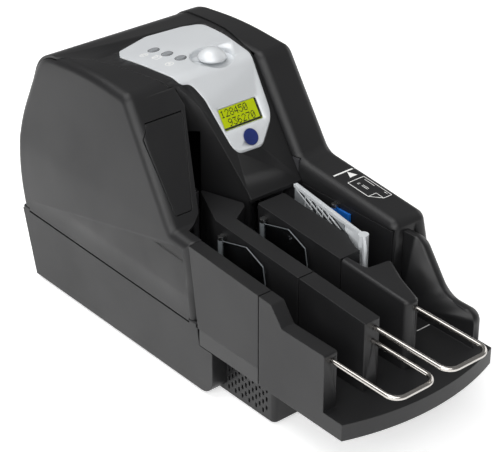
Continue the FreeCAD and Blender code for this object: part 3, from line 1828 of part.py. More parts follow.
def guide_cuts():
    """Fill every opening in the track guides."""
    levels = (deck_top + camera_slit_margin, deck_top + track_height - camera_slit_margin)
    half = camera_slit / 2
    right = (track_across, track_right + track_wall + overrun)
    cuts = station_windows()
    for ahead in (front_camera_ahead, back_camera_ahead):
        cuts.append(box(right, (ahead - half, ahead + half), levels))
    outer_wall = (track_right, track_right + track_wall)
    cuts.append(box(outer_wall, (head_ahead - half, head_ahead + half), (head_up, head_up + head_height)))
    nozzle = cartridge_nozzle / 2
    centre = nozzle_ahead()
    low = nozzle_low()
    left_wall = (track_left - track_wall, track_left)
    ahead = (centre - nozzle - clearance, centre + nozzle + clearance)
    cuts.append(box(left_wall, ahead, (low - clearance, low + cartridge_nozzle + clearance)))
    return cuts


def outer_guide():
    """The outer wall of the document track."""
    high = deck_top + track_height
    body = turned(track_outer_radius + track_wall, deck_top, high, track_right_end, track_left_end)
    core = turned(
        track_outer_radius, deck_top - overrun, high + overrun,
        track_right_end + overrun, track_left_end + overrun
    )
    return body.cut(core).cut(Part.makeCompound(guide_cuts()))


def inner_guide():
    """The inner wall of the document track."""
    high = deck_top + track_height
    body = turned(track_inner_radius, deck_top, high, track_inner_end, track_left_end)
    core = turned(
        track_inner_radius - track_wall, deck_top - overrun, high + overrun,
        track_inner_end + overrun, track_left_end + overrun
    )
    return body.cut(core).cut(Part.makeCompound(guide_cuts()))


def stations(turn):
    """Places of the right, rear and left shafts at a distance from the track's middle."""
    return {
        "right": (track_across + turn, right_station_ahead),
        "rear": (track_across, track_turn_ahead - turn),
        "left": (track_across - turn, left_station_ahead),
    }


def drive_roller(place):
    """A rubber drive roller with its shaft and belt pulley."""
    across, ahead = place
    high = roller_low + roller_width
    pieces = [
        post(across, ahead, roller_low, high, roller_radius),
        post(across, ahead, pulley_low, high + roller_shaft_rise, roller_shaft_radius),
        post(across, ahead, pulley_low, pulley_top, pulley_radius),
    ]
    return joined(pieces)


def idler(place):
    """A free roller that presses the document against its drive roller."""
    across, ahead = place
    wheel = post(across, ahead, roller_low, roller_low + roller_width, idler_radius)
    return wheel.cut(post(across, ahead, roller_low, far_height, idler_pin_radius + running_fit))


def shouldered_pin(across, ahead, low, high, radius, shoulder):
    """A pin on the deck with a wider foot that holds its roller up."""
    foot = post(across, ahead, deck_top, low - clearance, shoulder)
    return joined([foot, post(across, ahead, deck_top, high, radius)])


def track_pins():
    """The pins of the three idlers, the separator and the sort gate."""
    pins = []
    top = roller_low + roller_width + roller_shaft_rise
    for across, ahead in stations(idler_turn).values():
        pins.append(shouldered_pin(across, ahead, roller_low, top, idler_pin_radius, idler_shoulder_radius))
    top = separator_low + separator_width + separator_pin_rise
    pins.append(shouldered_pin(
        separator_across(), separator_ahead, separator_low, top, idler_pin_radius, idler_shoulder_radius
    ))
    top = gate_low + gate_height + gate_pin_rise
    pins.append(shouldered_pin(gate_across(), gate_ahead, gate_low, top, gate_pin_radius, gate_hub_radius))
    return Part.makeCompound(pins)


def gate_across():
    """The sort gate stands in the middle of the track's left leg."""
    return track_left + track_gap / 2


def separator_across():
    """Where the separator's pin stands, just clear of the track's middle."""
    return track_right - (track_gap + clearance) / 2 - separator_radius


def separator_roller():
    """The slow roller that holds back all documents but one."""
    across = separator_across()
    wheel = post(across, separator_ahead, separator_low, separator_low + separator_width, separator_radius)
    bore = idler_pin_radius + running_fit
    return wheel.cut(post(across, separator_ahead, separator_low, far_height, bore))


def feed_roller():
    """The feed roller on its shaft."""
    across = feed_across()
    motor_top = slab_top - slab_wall
    high = feed_low + feed_width
    pieces = [
        post(across, feed_ahead, feed_low, high, feed_radius),
        post(across, feed_ahead, motor_top - feed_shaft_depth, high + roller_shaft_rise, roller_shaft_radius),
    ]
    return joined(pieces)


def feed_motor():
    """The feed roller's motor under the bay floor."""
    high = slab_top - slab_wall
    can = post(feed_across(), feed_ahead, high - feed_motor_length, high, feed_motor_radius)
    depth = feed_shaft_depth + clearance
    return can.cut(post(feed_across(), feed_ahead, high - depth, high, roller_shaft_radius + running_fit))


def sort_gate():
    """The blade that sends each document left or right."""
    across = gate_across()
    high = gate_low + gate_height
    tip = (across, gate_ahead - gate_blade_length)
    pieces = [
        post(across, gate_ahead, gate_low, high, gate_hub_radius),
        vane((across, gate_ahead), tip, gate_blade_thickness, gate_low, high),
    ]
    return joined(pieces).cut(post(across, gate_ahead, gate_low, high, gate_pin_radius + running_fit))


def deck_plate():
    """The deck that carries the document track."""
    sides = (deck_side_gap, body_width - deck_side_gap)
    deck = box(sides, (deck_rear_ahead, deck_front_ahead), (deck_height, deck_top))
    for across, ahead in stations(roller_turn).values():
        deck = deck.cut(post(across, ahead, deck_height, deck_top, roller_shaft_radius + running_fit))
    return deck


def drive_belt():
    """The belt round the three pulleys and the motor's own."""
    places = list(stations(roller_turn).values()) + [(motor_across, motor_ahead)]
    corners = [spot(across, ahead, pulley_low) for across, ahead in places]
    line = Part.makePolygon(corners + corners[:1])
    inner = pulley_radius + clearance
    ring = Part.Face(line.makeOffset2D(inner + belt_thickness))
    hole = Part.Face(line.makeOffset2D(inner))
    return ring.cut(hole).extrude(Vector(0, 0, pulley_width))


def motor_plate_top():
    """Top of the motor's plate, just under its pulley."""
    return pulley_low - motor_plate_gap


def drive_motor():
    """The drive motor on its plate, hung from the deck by four standoffs."""
    top = motor_plate_top()
    low = top - motor_plate_thickness
    sides = (motor_across - motor_plate_half_width, motor_across + motor_plate_half_width)
    ahead = (motor_ahead - motor_plate_half_length, motor_ahead + motor_plate_half_length)
    can = post(motor_across, motor_ahead, low - motor_length, low, motor_radius)
    pieces = [box(sides, ahead, (low, top)), can]
    for across_sign in (-1, 1):
        for ahead_sign in (-1, 1):
            across = motor_across + across_sign * standoff_across
            beside = motor_ahead + ahead_sign * standoff_ahead
            pieces.append(post(across, beside, top, deck_height, standoff_radius))
    well = post(
        motor_across, motor_ahead, top - motor_shaft_depth - clearance, top, motor_shaft_radius + running_fit
    )
    return joined(pieces).cut(well)


def motor_pulley():
    """The motor's pulley on its shaft."""
    low = motor_plate_top() - motor_shaft_depth
    pulley = post(motor_across, motor_ahead, pulley_low, pulley_top, pulley_radius)
    return joined([pulley, post(motor_across, motor_ahead, low, pulley_top, motor_shaft_radius)])


def scanning_head(start, ahead):
    """A scanning head standing on the deck beside the track."""
    half = camera_length / 2
    end = start + camera_depth
    corners = [
        (start, ahead - half, camera_edge_radius),
        (end, ahead - half, camera_edge_radius),
        (end, ahead + half, camera_edge_radius),
        (start, ahead + half, camera_edge_radius),
    ]
    return up_prism(corners, deck_top, deck_top + track_height)


def front_camera():
    """The scanning head outside the track."""
    return scanning_head(track_right + track_wall, front_camera_ahead)


def back_camera():
    """The scanning head inside the track."""
    inner_face = track_right - track_gap - track_wall
    return scanning_head(inner_face - camera_depth, back_camera_ahead)


def read_head():
    """The magnetic reading head outside the track, on its own foot."""
    start = track_right + track_wall
    ahead = (head_ahead - head_length / 2, head_ahead + head_length / 2)
    body = box((start, start + head_depth), ahead, (head_up, head_up + head_height))
    foot = box((start + head_depth / 2, start + head_depth), ahead, (deck_top, head_up))
    return joined([body, foot])


def cradle_right():
    """Right face of the ink cradle, against the outer guide."""
    return track_left - track_wall


def nozzle_ahead():
    """Where the ink nozzle points into the track."""
    return cartridge_ahead + cartridge_nozzle


def nozzle_low():
    """Lowest point of the ink nozzle."""
    return deck_top + cradle_floor + cartridge_nozzle / 2


def ink_cartridge():
    """The ink cartridge with its nozzle towards the track."""
    end = cradle_right() - cradle_gap
    low = deck_top + cradle_floor
    start = end - cartridge_width
    corners = [
        (start, cartridge_ahead, cartridge_edge_radius),
        (end, cartridge_ahead, cartridge_edge_radius),
        (end, cartridge_ahead + cartridge_length, cartridge_edge_radius),
        (start, cartridge_ahead + cartridge_length, cartridge_edge_radius),
    ]
    body = up_prism(corners, low, low + cartridge_height)
    half = cartridge_nozzle / 2
    ahead = (nozzle_ahead() - half, nozzle_ahead() + half)
    nozzle = box((end - overrun, track_left), ahead, (nozzle_low(), nozzle_low() + cartridge_nozzle))
    return joined([body, nozzle])


def cartridge_cradle():
    """The cradle that holds the ink cartridge against the track."""
    right = cradle_right()
    start = right - 2 * cradle_gap - cartridge_width - cradle_wall
    rear = cartridge_ahead - cradle_gap - cradle_wall
    front = cartridge_ahead + cartridge_length + cradle_gap + cradle_wall
    body = box((start, right), (rear, front), (deck_top, deck_top + cradle_floor + cradle_height))
    inner = (start + cradle_wall, right + overrun)
    hollow = box(inner, (rear + cradle_wall, front - cradle_wall), (deck_top + cradle_floor, far_height))
    return body.cut(hollow)


# Electronics

def main_board():
    """The main board with its processor and heat sink."""
    top = board_up + board_thickness
    pieces = [box((board_left, board_right), (board_rear_ahead, board_front_ahead), (board_up, top))]
    for across, ahead, size, height in (
        (chip_across, chip_ahead, chip_size, chip_height),
        (heat_sink_across, heat_sink_ahead, heat_sink_size, heat_sink_height),
    ):
        sides = (across, across + size)
        pieces.append(box(sides, (ahead, ahead + size), (top, top + height)))
    board = joined(pieces)
    for across, width in ((port_across, port_width), (usb_across, usb_width)):
        board = board.cut(port_box(across, width, port_gap))
    return board


def rear_ports():
    """The power inlet and the data socket on the board's rear edge."""
    low = board_up + board_thickness
    middle = low + port_height / 2
    power = port_box(port_across, port_width, 0).common(skin_block(0))
    start = spot(port_across, -rear_knee_back, middle)
    depth = port_hole_depth + rear_knee_back
    power = power.cut(Part.makeCylinder(port_hole_radius, depth, start, Vector(0, -1, 0)))
    data = port_box(usb_across, usb_width, 0).common(skin_block(0))
    half = usb_width / 2 - usb_hole_margin
    levels = (low + usb_hole_margin, low + port_height - usb_hole_margin)
    hole = box((usb_across - half, usb_across + half), (-rear_knee_back, port_hole_depth), levels)
    tongue_half = half - usb_tongue / 2
    tongue = box(
        (usb_across - tongue_half, usb_across + tongue_half),
        (rear_face(middle) + usb_tongue, port_hole_depth),
        (middle - usb_tongue / 2, middle + usb_tongue / 2),
    )
    return Part.makeCompound([power, data.cut(hole).fuse(tongue)])


def fan_middle():
    """Height of the fan's axle above the vent box's floor."""
    return foot_height + vent_wall + fan_size / 2


def fan_frame():
    """The fan's square frame behind the vent slots."""
    start = vent_inset + vent_wall
    end = start + fan_depth
    half = fan_size / 2
    up = fan_middle()
    frame = box((start, end), (fan_ahead - half, fan_ahead + half), (up - half, up + half))
    frame = frame.cut(rod((start - overrun, end + overrun), fan_ahead, up, fan_hole_radius))
    spider = (end - fan_spider_depth, end)
    bar = fan_spider_width / 2
    pieces = [
        frame,
        box(spider, (fan_ahead - half, fan_ahead + half), (up - bar, up + bar)),
        box(spider, (fan_ahead - bar, fan_ahead + bar), (up - half, up + half)),
        rod(spider, fan_ahead, up, fan_hub_radius),
    ]
    bore = rod((start - overrun, end + overrun), fan_ahead, up, fan_axle_radius + running_fit)
    return joined(pieces).cut(bore)


def fan_rotor():
    """The fan's seven-bladed rotor on its axle."""
    start = vent_inset + vent_wall + fan_rotor_gap
    end = start + fan_rotor_depth
    up = fan_middle()
    axle_end = vent_inset + vent_wall + fan_depth
    pieces = [rod((start, end), fan_ahead, up, fan_hub_radius)]
    pieces.append(rod((end, axle_end), fan_ahead, up, fan_axle_radius))
    centre = spot((start + end) / 2, fan_ahead, up)
    reach = fan_rotor_radius - fan_hub_radius / 2
    blade_half = fan_rotor_depth / 2 / math.cos(math.radians(fan_blade_turn)) - fan_blade_thickness
    corner = centre + Vector(-blade_half, -fan_blade_thickness / 2, fan_hub_radius / 2)
    for index in range(fan_blade_count):
        blade = Part.makeBox(2 * blade_half, fan_blade_thickness, reach, corner)
        blade.rotate(centre, Vector(0, 0, 1), fan_blade_turn)
        blade.rotate(centre, Vector(1, 0, 0), index * 360 / fan_blade_count)
        pieces.append(blade)
    body = joined(pieces)
    return body.common(rod((start, axle_end), fan_ahead, up, fan_rotor_radius))


def exported(name, shape):
    """Write one sub-part and say how many solids it holds."""
    os.makedirs("parts", exist_ok=True)
    shape.exportStep("parts/" + name + ".step")
    print(name, len(shape.Solids), round(shape.Volume, 1), shape.isValid())


makers = [
    lower_housing, vent_box, rubber_feet, deck_plate, centre_cover, control_panel, display_window,
    display_module, status_lights, badge_disc, joystick_knob, joystick_base, left_cover, ink_door,
    right_cover, left_hinge_pins, right_hinge_pins, ink_door_pins, pocket_floor, left_pocket_wall,
    pocket_divider_one, pocket_divider_two, hopper_side_plate, front_tray, front_divider_one,
    front_divider_two, wire_loop_one, wire_loop_two, flag_one, flag_two, flag_pins, pusher_paddle,
    paddle_pin, latch_lever, latch_pin, outer_guide, inner_guide, track_pins, feed_roller,
    separator_roller, feed_motor, drive_belt, drive_motor, motor_pulley, front_camera, back_camera,
    read_head, ink_cartridge, cartridge_cradle, sort_gate, main_board, rear_ports, fan_frame, fan_rotor,
]
for maker in makers:
    exported(maker.__name__, maker())

for side, place in stations(roller_turn).items():
    exported("drive_roller_" + side, drive_roller(place))

for side, place in stations(idler_turn).items():
    exported("idler_" + side, idler(place))
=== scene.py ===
"""Dressing of a desktop cheque scanner: finishes, prints and fine detail over its construction.

Sizes in the dataclass fields are millimetres, and meshes are metres, in the frame of the construction.
The floor's half width, the lamps and the point that they look at are metres too.
"""
import sys
import json
import logging
import math
from collections.abc import Iterable
from dataclasses import dataclass
from enum import Enum
from itertools import product

import bmesh
import bpy
from bmesh.types import BMesh
from bpy.types import ID, Material, Mesh, Node, NodeSocket, NodeTree, Object
from mathutils import Euler, Matrix, Vector
from mathutils.bvhtree import BVHTree


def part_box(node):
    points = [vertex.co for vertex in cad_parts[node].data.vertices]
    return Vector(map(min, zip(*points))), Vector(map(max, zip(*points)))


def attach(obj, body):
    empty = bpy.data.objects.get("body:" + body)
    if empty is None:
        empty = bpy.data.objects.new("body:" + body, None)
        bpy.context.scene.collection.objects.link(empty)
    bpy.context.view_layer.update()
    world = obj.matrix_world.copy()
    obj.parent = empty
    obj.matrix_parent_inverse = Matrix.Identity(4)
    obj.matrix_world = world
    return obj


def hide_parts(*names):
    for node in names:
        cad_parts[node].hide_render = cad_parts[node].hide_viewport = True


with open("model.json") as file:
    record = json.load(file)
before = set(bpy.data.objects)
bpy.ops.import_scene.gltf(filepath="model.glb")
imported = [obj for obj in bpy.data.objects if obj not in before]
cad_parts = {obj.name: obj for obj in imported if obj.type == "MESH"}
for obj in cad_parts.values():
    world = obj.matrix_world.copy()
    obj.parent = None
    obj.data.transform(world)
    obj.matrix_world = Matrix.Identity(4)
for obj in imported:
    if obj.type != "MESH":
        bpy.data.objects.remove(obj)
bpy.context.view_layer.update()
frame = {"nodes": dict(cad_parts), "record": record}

MM = 0.001
WELD = 0.002
FLAT_ANGLE = math.radians(0.2)
log = logging.getLogger("scanner")

Colour = tuple[float, float, float, float]
Place = tuple[float, float]
Size = tuple[float, float, float]
Seats = list[tuple[Vector, Vector]]

UP = Vector((0, 0, 1))
RIGHT = Vector((1, 0, 0))
WHITE = "#ffffff"
# The curve between a stored colour value and light.
TOP_LEVEL = 255
CURVE_FOOT = 0.04045
FOOT_SLOPE = 12.92
CURVE_SHIFT = 0.055
CURVE_POWER = 2.4


def linear(shade: str) -> Colour:
    """Turn an sRGB hex value into a linear colour.

    Args:
        shade: six hex digits after a hash sign.

    Returns:
        The linear red, green and blue, with a full alpha.
    """
    light = []
    for start in (1, 3, 5):
        value = int(shade[start:start + 2], 16) / TOP_LEVEL
        high = ((value + CURVE_SHIFT) / (1 + CURVE_SHIFT)) ** CURVE_POWER
        light.append(value / FOOT_SLOPE if value <= CURVE_FOOT else high)
    return (*light, 1.0)


def feed(tree: NodeTree, node: Node, inputs: dict) -> None:
    """Give the inputs of a node their values and links.

    Args:
        tree: the node's tree.
        node: the node.
        inputs: socket name or number to a value, or to the output socket that feeds it.
    """
    for name, value in inputs.items():
        if isinstance(value, NodeSocket):
            tree.links.new(value, node.inputs[name])
        else:
            node.inputs[name].default_value = value


def add_node(tree: NodeTree, kind: str, inputs: dict | None = None, **settings) -> Node:
    """Add a node to a tree, with its settings, its values and its links.

    Args:
        tree: the shader or geometry tree.
        kind: the node's type name.
        inputs: socket name or number to a value, or to the output socket that feeds it.
        **settings: attributes of the node itself.

    Returns:
        The new node.
    """
    node = tree.nodes.new(kind)
    for name, value in settings.items():
        setattr(node, name, value)
    feed(tree, node, inputs or {})
    return node


def per_metre(spacing: float) -> float:
    """Give the texture scale whose cells are a spacing in millimetres apart."""
    return 1 / (spacing * MM)


class Reflection(Enum):
    """What a surface is made of, as light sees it."""

    DIELECTRIC = 0.0
    FLAKED = 0.2
    METAL = 1.0


CLOUD_DETAIL = 3.0
CLOUD_LEVELS = (0.3, 0.7)
GRAIN_DETAIL = 4.0
GRAIN_ROUGHNESS = 0.6
EDGE_SAMPLES = 6


@dataclass(frozen=True)
class Look:
    """What every surface has: a name, a shade, and a material that is built once."""

    name: str
    shade: str

    def material(self) -> Material:
        """Build the material once and hand the same one out afterwards.

        Returns:
            The material.
        """
        found = bpy.data.materials.get(self.name)
        if found:
            return found
        made = bpy.data.materials.new(self.name)
        made.use_nodes = True
        self.paint(made.node_tree, made.node_tree.nodes["Principled BSDF"])
        return made

    def paint(self, tree: NodeTree, shader: Node) -> None:
        """Fill the main shader's sockets, which each kind of surface does in its own way."""
        raise NotImplementedError

    def tone(self, tree: NodeTree, factor: NodeSocket, other: str) -> NodeSocket:
        """Mix the shade with as much of another one as the factor says."""
        mix = add_node(tree, "ShaderNodeMix", {
            "Factor": factor, "A": linear(self.shade), "B": linear(other),
        }, data_type="RGBA")
        return mix.outputs["Result"]


@dataclass(frozen=True)
class Finish(Look):
    """A solid surface: moulded, painted, ground or drawn.

    The grain is a fine bump, given by its spacing and height, and the cloud is the spacing of a broad
    drift of tone and gloss.
    """

    drift: str
    roughness: float
    grain: Place
    cloud: float
    stretch: Size = (1.0, 1.0, 1.0)
    edge_radius: float = 0.5
    reflection: Reflection = Reflection.DIELECTRIC
    ior: float = 1.5
    coat: float = 0.0
    gloss_drift: float = 0.06

    def paint(self, tree: NodeTree, shader: Node) -> None:
        """Fill the shader's sockets.

        Args:
            tree: the material's node tree.
            shader: its main shader.
        """
        where = add_node(tree, "ShaderNodeTexCoord").outputs["Object"]
        place = add_node(tree, "ShaderNodeMapping", {"Vector": where, "Scale": self.stretch}).outputs[0]
        cloud = add_node(tree, "ShaderNodeTexNoise", {
            "Vector": where, "Scale": per_metre(self.cloud), "Detail": CLOUD_DETAIL,
        }).outputs["Fac"]
        gloss = add_node(tree, "ShaderNodeMapRange", {
            "Value": cloud, "From Min": CLOUD_LEVELS[0], "From Max": CLOUD_LEVELS[1],
            "To Min": self.roughness - self.gloss_drift, "To Max": self.roughness + self.gloss_drift,
        })
        rounded = add_node(tree, "ShaderNodeBevel", {"Radius": self.edge_radius * MM}, samples=EDGE_SAMPLES)
        bump = add_node(tree, "ShaderNodeBump", {
            "Height": self.relief(tree, place), "Distance": self.grain[1] * MM,
            "Normal": rounded.outputs[0],
        })
        feed(tree, shader, {
            "Base Color": self.tone(tree, cloud, self.drift), "Roughness": gloss.outputs[0],
            "Normal": bump.outputs[0], "Metallic": self.reflection.value, "Coat Weight": self.coat,
        })
        if self.reflection is Reflection.DIELECTRIC:
            feed(tree, shader, {"IOR": self.ior})

    def relief(self, tree: NodeTree, place: NodeSocket) -> NodeSocket:
        """Add the texture whose height is the grain, and which follows the place's coordinates."""
        grain = add_node(tree, "ShaderNodeTexNoise", {
            "Vector": place, "Scale": per_metre(self.grain[0]), "Detail": GRAIN_DETAIL,
            "Roughness": GRAIN_ROUGHNESS,
        })
        return grain.outputs["Fac"]


@dataclass(frozen=True)
class CellFinish(Finish):
    """A surface whose relief is close-set cells, such as spark-eroded plastic or zinc spangle."""

    def relief(self, tree: NodeTree, place: NodeSocket) -> NodeSocket:
        """Add the cells, with the finer noise in them."""
        cells = add_node(tree, "ShaderNodeTexVoronoi", {
            "Vector": place, "Scale": per_metre(self.grain[0]),
        }, feature="SMOOTH_F1").outputs["Distance"]
        return add_node(tree, "ShaderNodeMath", {
            0: cells, 1: super().relief(tree, place),
        }, operation="ADD").outputs[0]


@dataclass(frozen=True)
class ClearFinish(Look):
    """A clear moulding: it passes light, bends it and shows its edges by gloss."""

    roughness: float
    ior: float
    ripple_spacing: float = 14.0
    ripple_height: float = 0.03

    def paint(self, tree: NodeTree, shader: Node) -> None:
        """Fill the shader's sockets.

        Args:
            tree: the material's node tree.
            shader: its main shader.
        """
        where = add_node(tree, "ShaderNodeTexCoord").outputs["Object"]
        ripple = add_node(tree, "ShaderNodeTexNoise", {
            "Vector": where, "Scale": per_metre(self.ripple_spacing),
        }).outputs["Fac"]
        bump = add_node(tree, "ShaderNodeBump", {"Height": ripple, "Distance": self.ripple_height * MM})
        feed(tree, shader, {
            "Base Color": self.tone(tree, ripple, WHITE), "Roughness": self.roughness,
            "Normal": bump.outputs[0], "IOR": self.ior, "Transmission Weight": 1.0,
        })


@dataclass(frozen=True)
class LitFinish(Look):
    """The face of a lit display: a glow that varies faintly, under a dull film."""

    dim: str
    film: str
    strength: float
    cell: float = 0.6
    roughness: float = 0.5
    sheen: float = 0.15

    def paint(self, tree: NodeTree, shader: Node) -> None:
        """Fill the shader's sockets.

        Args:
            tree: the material's node tree.
            shader: its main shader.
        """
        where = add_node(tree, "ShaderNodeTexCoord").outputs["Object"]
        glow = add_node(tree, "ShaderNodeTexNoise", {"Vector": where, "Scale": per_metre(self.cell)})
        feed(tree, shader, {
            "Base Color": linear(self.film), "Roughness": self.roughness, "Specular IOR Level": self.sheen,
            "Emission Color": self.tone(tree, glow.outputs["Fac"], self.dim),
            "Emission Strength": self.strength,
        })


# Injection-moulded ABS with a spark-eroded texture: a soft, dark sheen that hides fingerprints.
CASE = CellFinish("case_abs_spark_eroded", "#1b1b1c", "#202021", roughness=0.42, grain=(0.8, 0.03),
                  cloud=60.0, edge_radius=0.8, ior=1.43)
# The same ABS inside the pockets, polished in streaks by paper that slides past.
RUBBED = CellFinish("pocket_abs_rubbed", "#19191a", "#212122", roughness=0.36, grain=(0.8, 0.02),
                    cloud=22.0, stretch=(1.0, 0.25, 1.0))
# Silver lacquer on ABS: fine metal flakes under a satin clear coat.
SILVER = Finish("panel_silver_lacquer", "#dcdfe2", "#e2e5e7", roughness=0.42, grain=(0.35, 0.012),
                cloud=30.0, reflection=Reflection.FLAKED, edge_radius=1.2)
# Natural rubber, moulded: deep matt black with a dusty drift.
RUBBER = Finish("rubber_moulded", "#191919", "#232322", roughness=0.75, grain=(0.5, 0.04), cloud=9.0)
# Ground roller rubber: an even dull grey with rings left by the grinding wheel.
ROLLER = Finish("rubber_ground", "#3b3b3d", "#46464a", roughness=0.62, grain=(0.35, 0.05), cloud=10.0,
                stretch=(1.0, 1.0, 6.0))
# Polished stainless wire, drawn through a die: bright, with hairlines along its length.
WIRE = Finish("stainless_wire_polished", "#cbc7c2", "#bdb9b4", roughness=0.2, grain=(0.3, 0.004),
              cloud=25.0, stretch=(1.0, 0.05, 1.0), reflection=Reflection.METAL, edge_radius=0.1,
              gloss_drift=0.03)
# Turned steel pins: brighter at the ends, with fine turning lines.
PIN = Finish("steel_pin_turned", "#b4b4b3", "#a4a5a6", roughness=0.28, grain=(0.25, 0.006), cloud=8.0,
             stretch=(1.0, 1.0, 8.0), reflection=Reflection.METAL, edge_radius=0.15)
# Zinc-plated sheet: pale crystals with a faint blue drift.
ZINC = CellFinish("zinc_plated_sheet", "#a9adb0", "#b7babb", roughness=0.38, grain=(7.0, 0.01),
                  cloud=16.0, reflection=Reflection.METAL, edge_radius=0.2)
# Light grey ABS, moulded with a satin face.
GREY = Finish("paddle_abs_satin", "#ccd0d3", "#d4d7d9", roughness=0.4, grain=(0.5, 0.02), cloud=25.0)
# The same ABS in the paddle's recesses, matt from the mould, darker than the paddle as painted shade where
# the recesses lie in shadow.
GREY_RECESS_SHADE = Finish("paddle_abs_recess_shade", "#85898c", "#909497", roughness=0.6, grain=(0.5, 0.02), cloud=12.0)
# Blue acetal: waxy, with a soft gloss.
BLUE = Finish("lever_acetal_blue", "#1560b8", "#1a6cc6", roughness=0.34, grain=(0.5, 0.015), cloud=12.0)
# White acetal of the free rollers.
ACETAL = Finish("roller_acetal_white", "#dcdcd6", "#e4e4df", roughness=0.38, grain=(0.5, 0.01),
                cloud=10.0)
# Black ABS, glossy: heads and cartridge, moulded against polished steel.
GLOSSY = Finish("housing_abs_glossy", "#151517", "#1b1b1e", roughness=0.16, grain=(2.0, 0.01), cloud=30.0,
                gloss_drift=0.03)
# Grey glass-filled nylon of the guides and the cradle: faint flow lines.
NYLON = Finish("guide_nylon_filled", "#38383a", "#424245", roughness=0.48, grain=(0.7, 0.03), cloud=18.0,
               stretch=(1.0, 0.3, 3.0))
# Motor can: dark passivated steel.
MOTOR = Finish("motor_can_passivated", "#4a4a4b", "#565655", roughness=0.35, grain=(0.4, 0.008),
               cloud=12.0, stretch=(1.0, 1.0, 5.0), reflection=Reflection.METAL, edge_radius=0.3)
# Turned aluminium of the pulley.
ALLOY = Finish("pulley_aluminium_turned", "#c2c4c5", "#b3b5b7", roughness=0.3, grain=(0.3, 0.006),
               cloud=8.0, stretch=(1.0, 1.0, 6.0), reflection=Reflection.METAL, edge_radius=0.2)
# Solder-masked board: green lacquer over copper that shows as a drift of tone.
BOARD = CellFinish("board_solder_mask", "#0f4a28", "#17603a", roughness=0.32, grain=(3.0, 0.03),
                   cloud=6.0, edge_radius=0.1)
# Chip packages: black moulding compound.
CHIP = Finish("chip_epoxy", "#1c1c1d", "#262627", roughness=0.5, grain=(0.3, 0.02), cloud=5.0,
              edge_radius=0.1)
# Light pipe: pale grey acrylic, polished, over a lamp that is off.
SMOKED = Finish("light_pipe_smoked", "#9a9da0", "#8b8e91", roughness=0.12, grain=(1.0, 0.005), cloud=6.0)
# Painted shadow: a matt dark colour laid where shade falls in narrow gaps, round each lamp, along the
# display and in the paddle.
GAP_SHADOW = Finish("shadow_gap_matt", "#2b2d2f", "#343638", roughness=0.8, grain=(0.2, 0.01), cloud=3.0,
             edge_radius=0.02)
# Badge: blue lacquer under a polished dome.
BADGE = Finish("badge_lacquer_blue", "#16255e", "#1d2f74", roughness=0.12, grain=(1.0, 0.004), cloud=9.0,
               coat=0.5)
# Screen-printed ink, off-white and flat.
WHITE_INK = Finish("print_ink_white", "#dededc", "#d4d4d2", roughness=0.55, grain=(0.4, 0.01), cloud=3.0,
                   edge_radius=0.02)
# Liquid-crystal segments: near-black olive when lit from behind.
SEGMENT = Finish("display_segment", "#10150a", "#181d0c", roughness=0.4, grain=(0.4, 0.005), cloud=3.0,
                 edge_radius=0.02)
# Backlit film of the display: yellow-green.
DISPLAY = LitFinish("display_backlit_film", "#b4c20c", dim="#b2c00b", film="#1c2003", strength=0.92)
# Milled edge of the clear flags, frosted by fine cutter marks that scatter the light; its pale grey is
# partly painted highlight, and on the hub's faces a painted glint.
FLAG_FROST_AND_GLINT = Finish("flag_edge_frost_and_glint", "#6f7477", "#7f8487", roughness=0.28, grain=(0.2, 0.02), cloud=5.0,
                   edge_radius=0.2)
# Opaque white ink of the signs on the panel and on the right cover.
PANEL_INK = Finish("panel_ink_white", "#fafaf8", "#f4f4f2", roughness=0.5, grain=(0.4, 0.005), cloud=3.0,
                   edge_radius=0.02)
# Clear polycarbonate of the flags.
FLAG = ClearFinish("flag_polycarbonate_clear", "#e3e8ea", roughness=0.03, ior=1.58)
# Acrylic of the display's window, with a coat that cuts reflections, which the low index stands for.
WINDOW = ClearFinish("window_acrylic_clear", "#f6fae0", roughness=0.01, ior=1.16)

GLYPH_WIDTH = 5
# Plain numbers of a dot display, seven rows each, one bit to a dot.
GLYPHS = {
    "0": (14, 17, 19, 21, 25, 17, 14),
    "1": (4, 12, 4, 4, 4, 4, 14),
    "2": (14, 17, 1, 2, 4, 8, 31),
    "3": (31, 2, 4, 2, 1, 17, 14),
    "4": (2, 6, 10, 18, 31, 2, 2),
    "5": (31, 16, 30, 1, 1, 17, 14),
    "6": (6, 8, 16, 30, 17, 17, 14),
    "7": (31, 1, 2, 4, 8, 8, 8),
    "8": (14, 17, 17, 14, 17, 17, 14),
    "9": (14, 17, 17, 15, 1, 2, 12),
}


# Mesh tools

BODY_OF = {node: body for body, nodes in frame["record"]["behaviour"]["bodies"].items() for node in nodes}
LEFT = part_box("lower_housing")[0].x
REAR_FOOT_TO_LINE = 7.0
REAR_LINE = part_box("rubber_feet")[1].y + REAR_FOOT_TO_LINE * MM
SHARP = math.radians(32)
ROUNDING_STEPS = 2
LOBES = 6
LOBE_SHARE = 0.14
CAST_REACH = 0.5


def spot(across: float, ahead: float, up: float) -> Vector:
    """Find a point by its millimetres from the left side, ahead of the rear base line and off the table."""
    return Vector((LEFT + across * MM, REAR_LINE - ahead * MM, up * MM))


def route(places: Iterable[Place]) -> list[Vector]:
    """Turn places across and ahead into points at the height of the table."""
    return [spot(*place, 0) for place in places]


def copied(node: str) -> BMesh:
    """Copy a node's mesh, with its triangles joined up and its flat faces made whole.

    Args:
        node: the node's name.

    Returns:
        The copy, which the caller hands to finished().
    """
    mesh = bmesh.new()
    mesh.from_mesh(frame["nodes"][node].data)
    bmesh.ops.remove_doubles(mesh, verts=mesh.verts, dist=WELD * MM)
    bmesh.ops.dissolve_limit(mesh, angle_limit=FLAT_ANGLE, verts=mesh.verts, edges=mesh.edges)
    return mesh


def linked(name: str, data: ID) -> Object:
    """Put an object in the scene.

    Args:
        name: the object's name.
        data: its mesh, lamp or camera.

    Returns:
        The object, at the origin.
    """
    made = bpy.data.objects.new(name, data)
    bpy.context.scene.collection.objects.link(made)
    return made


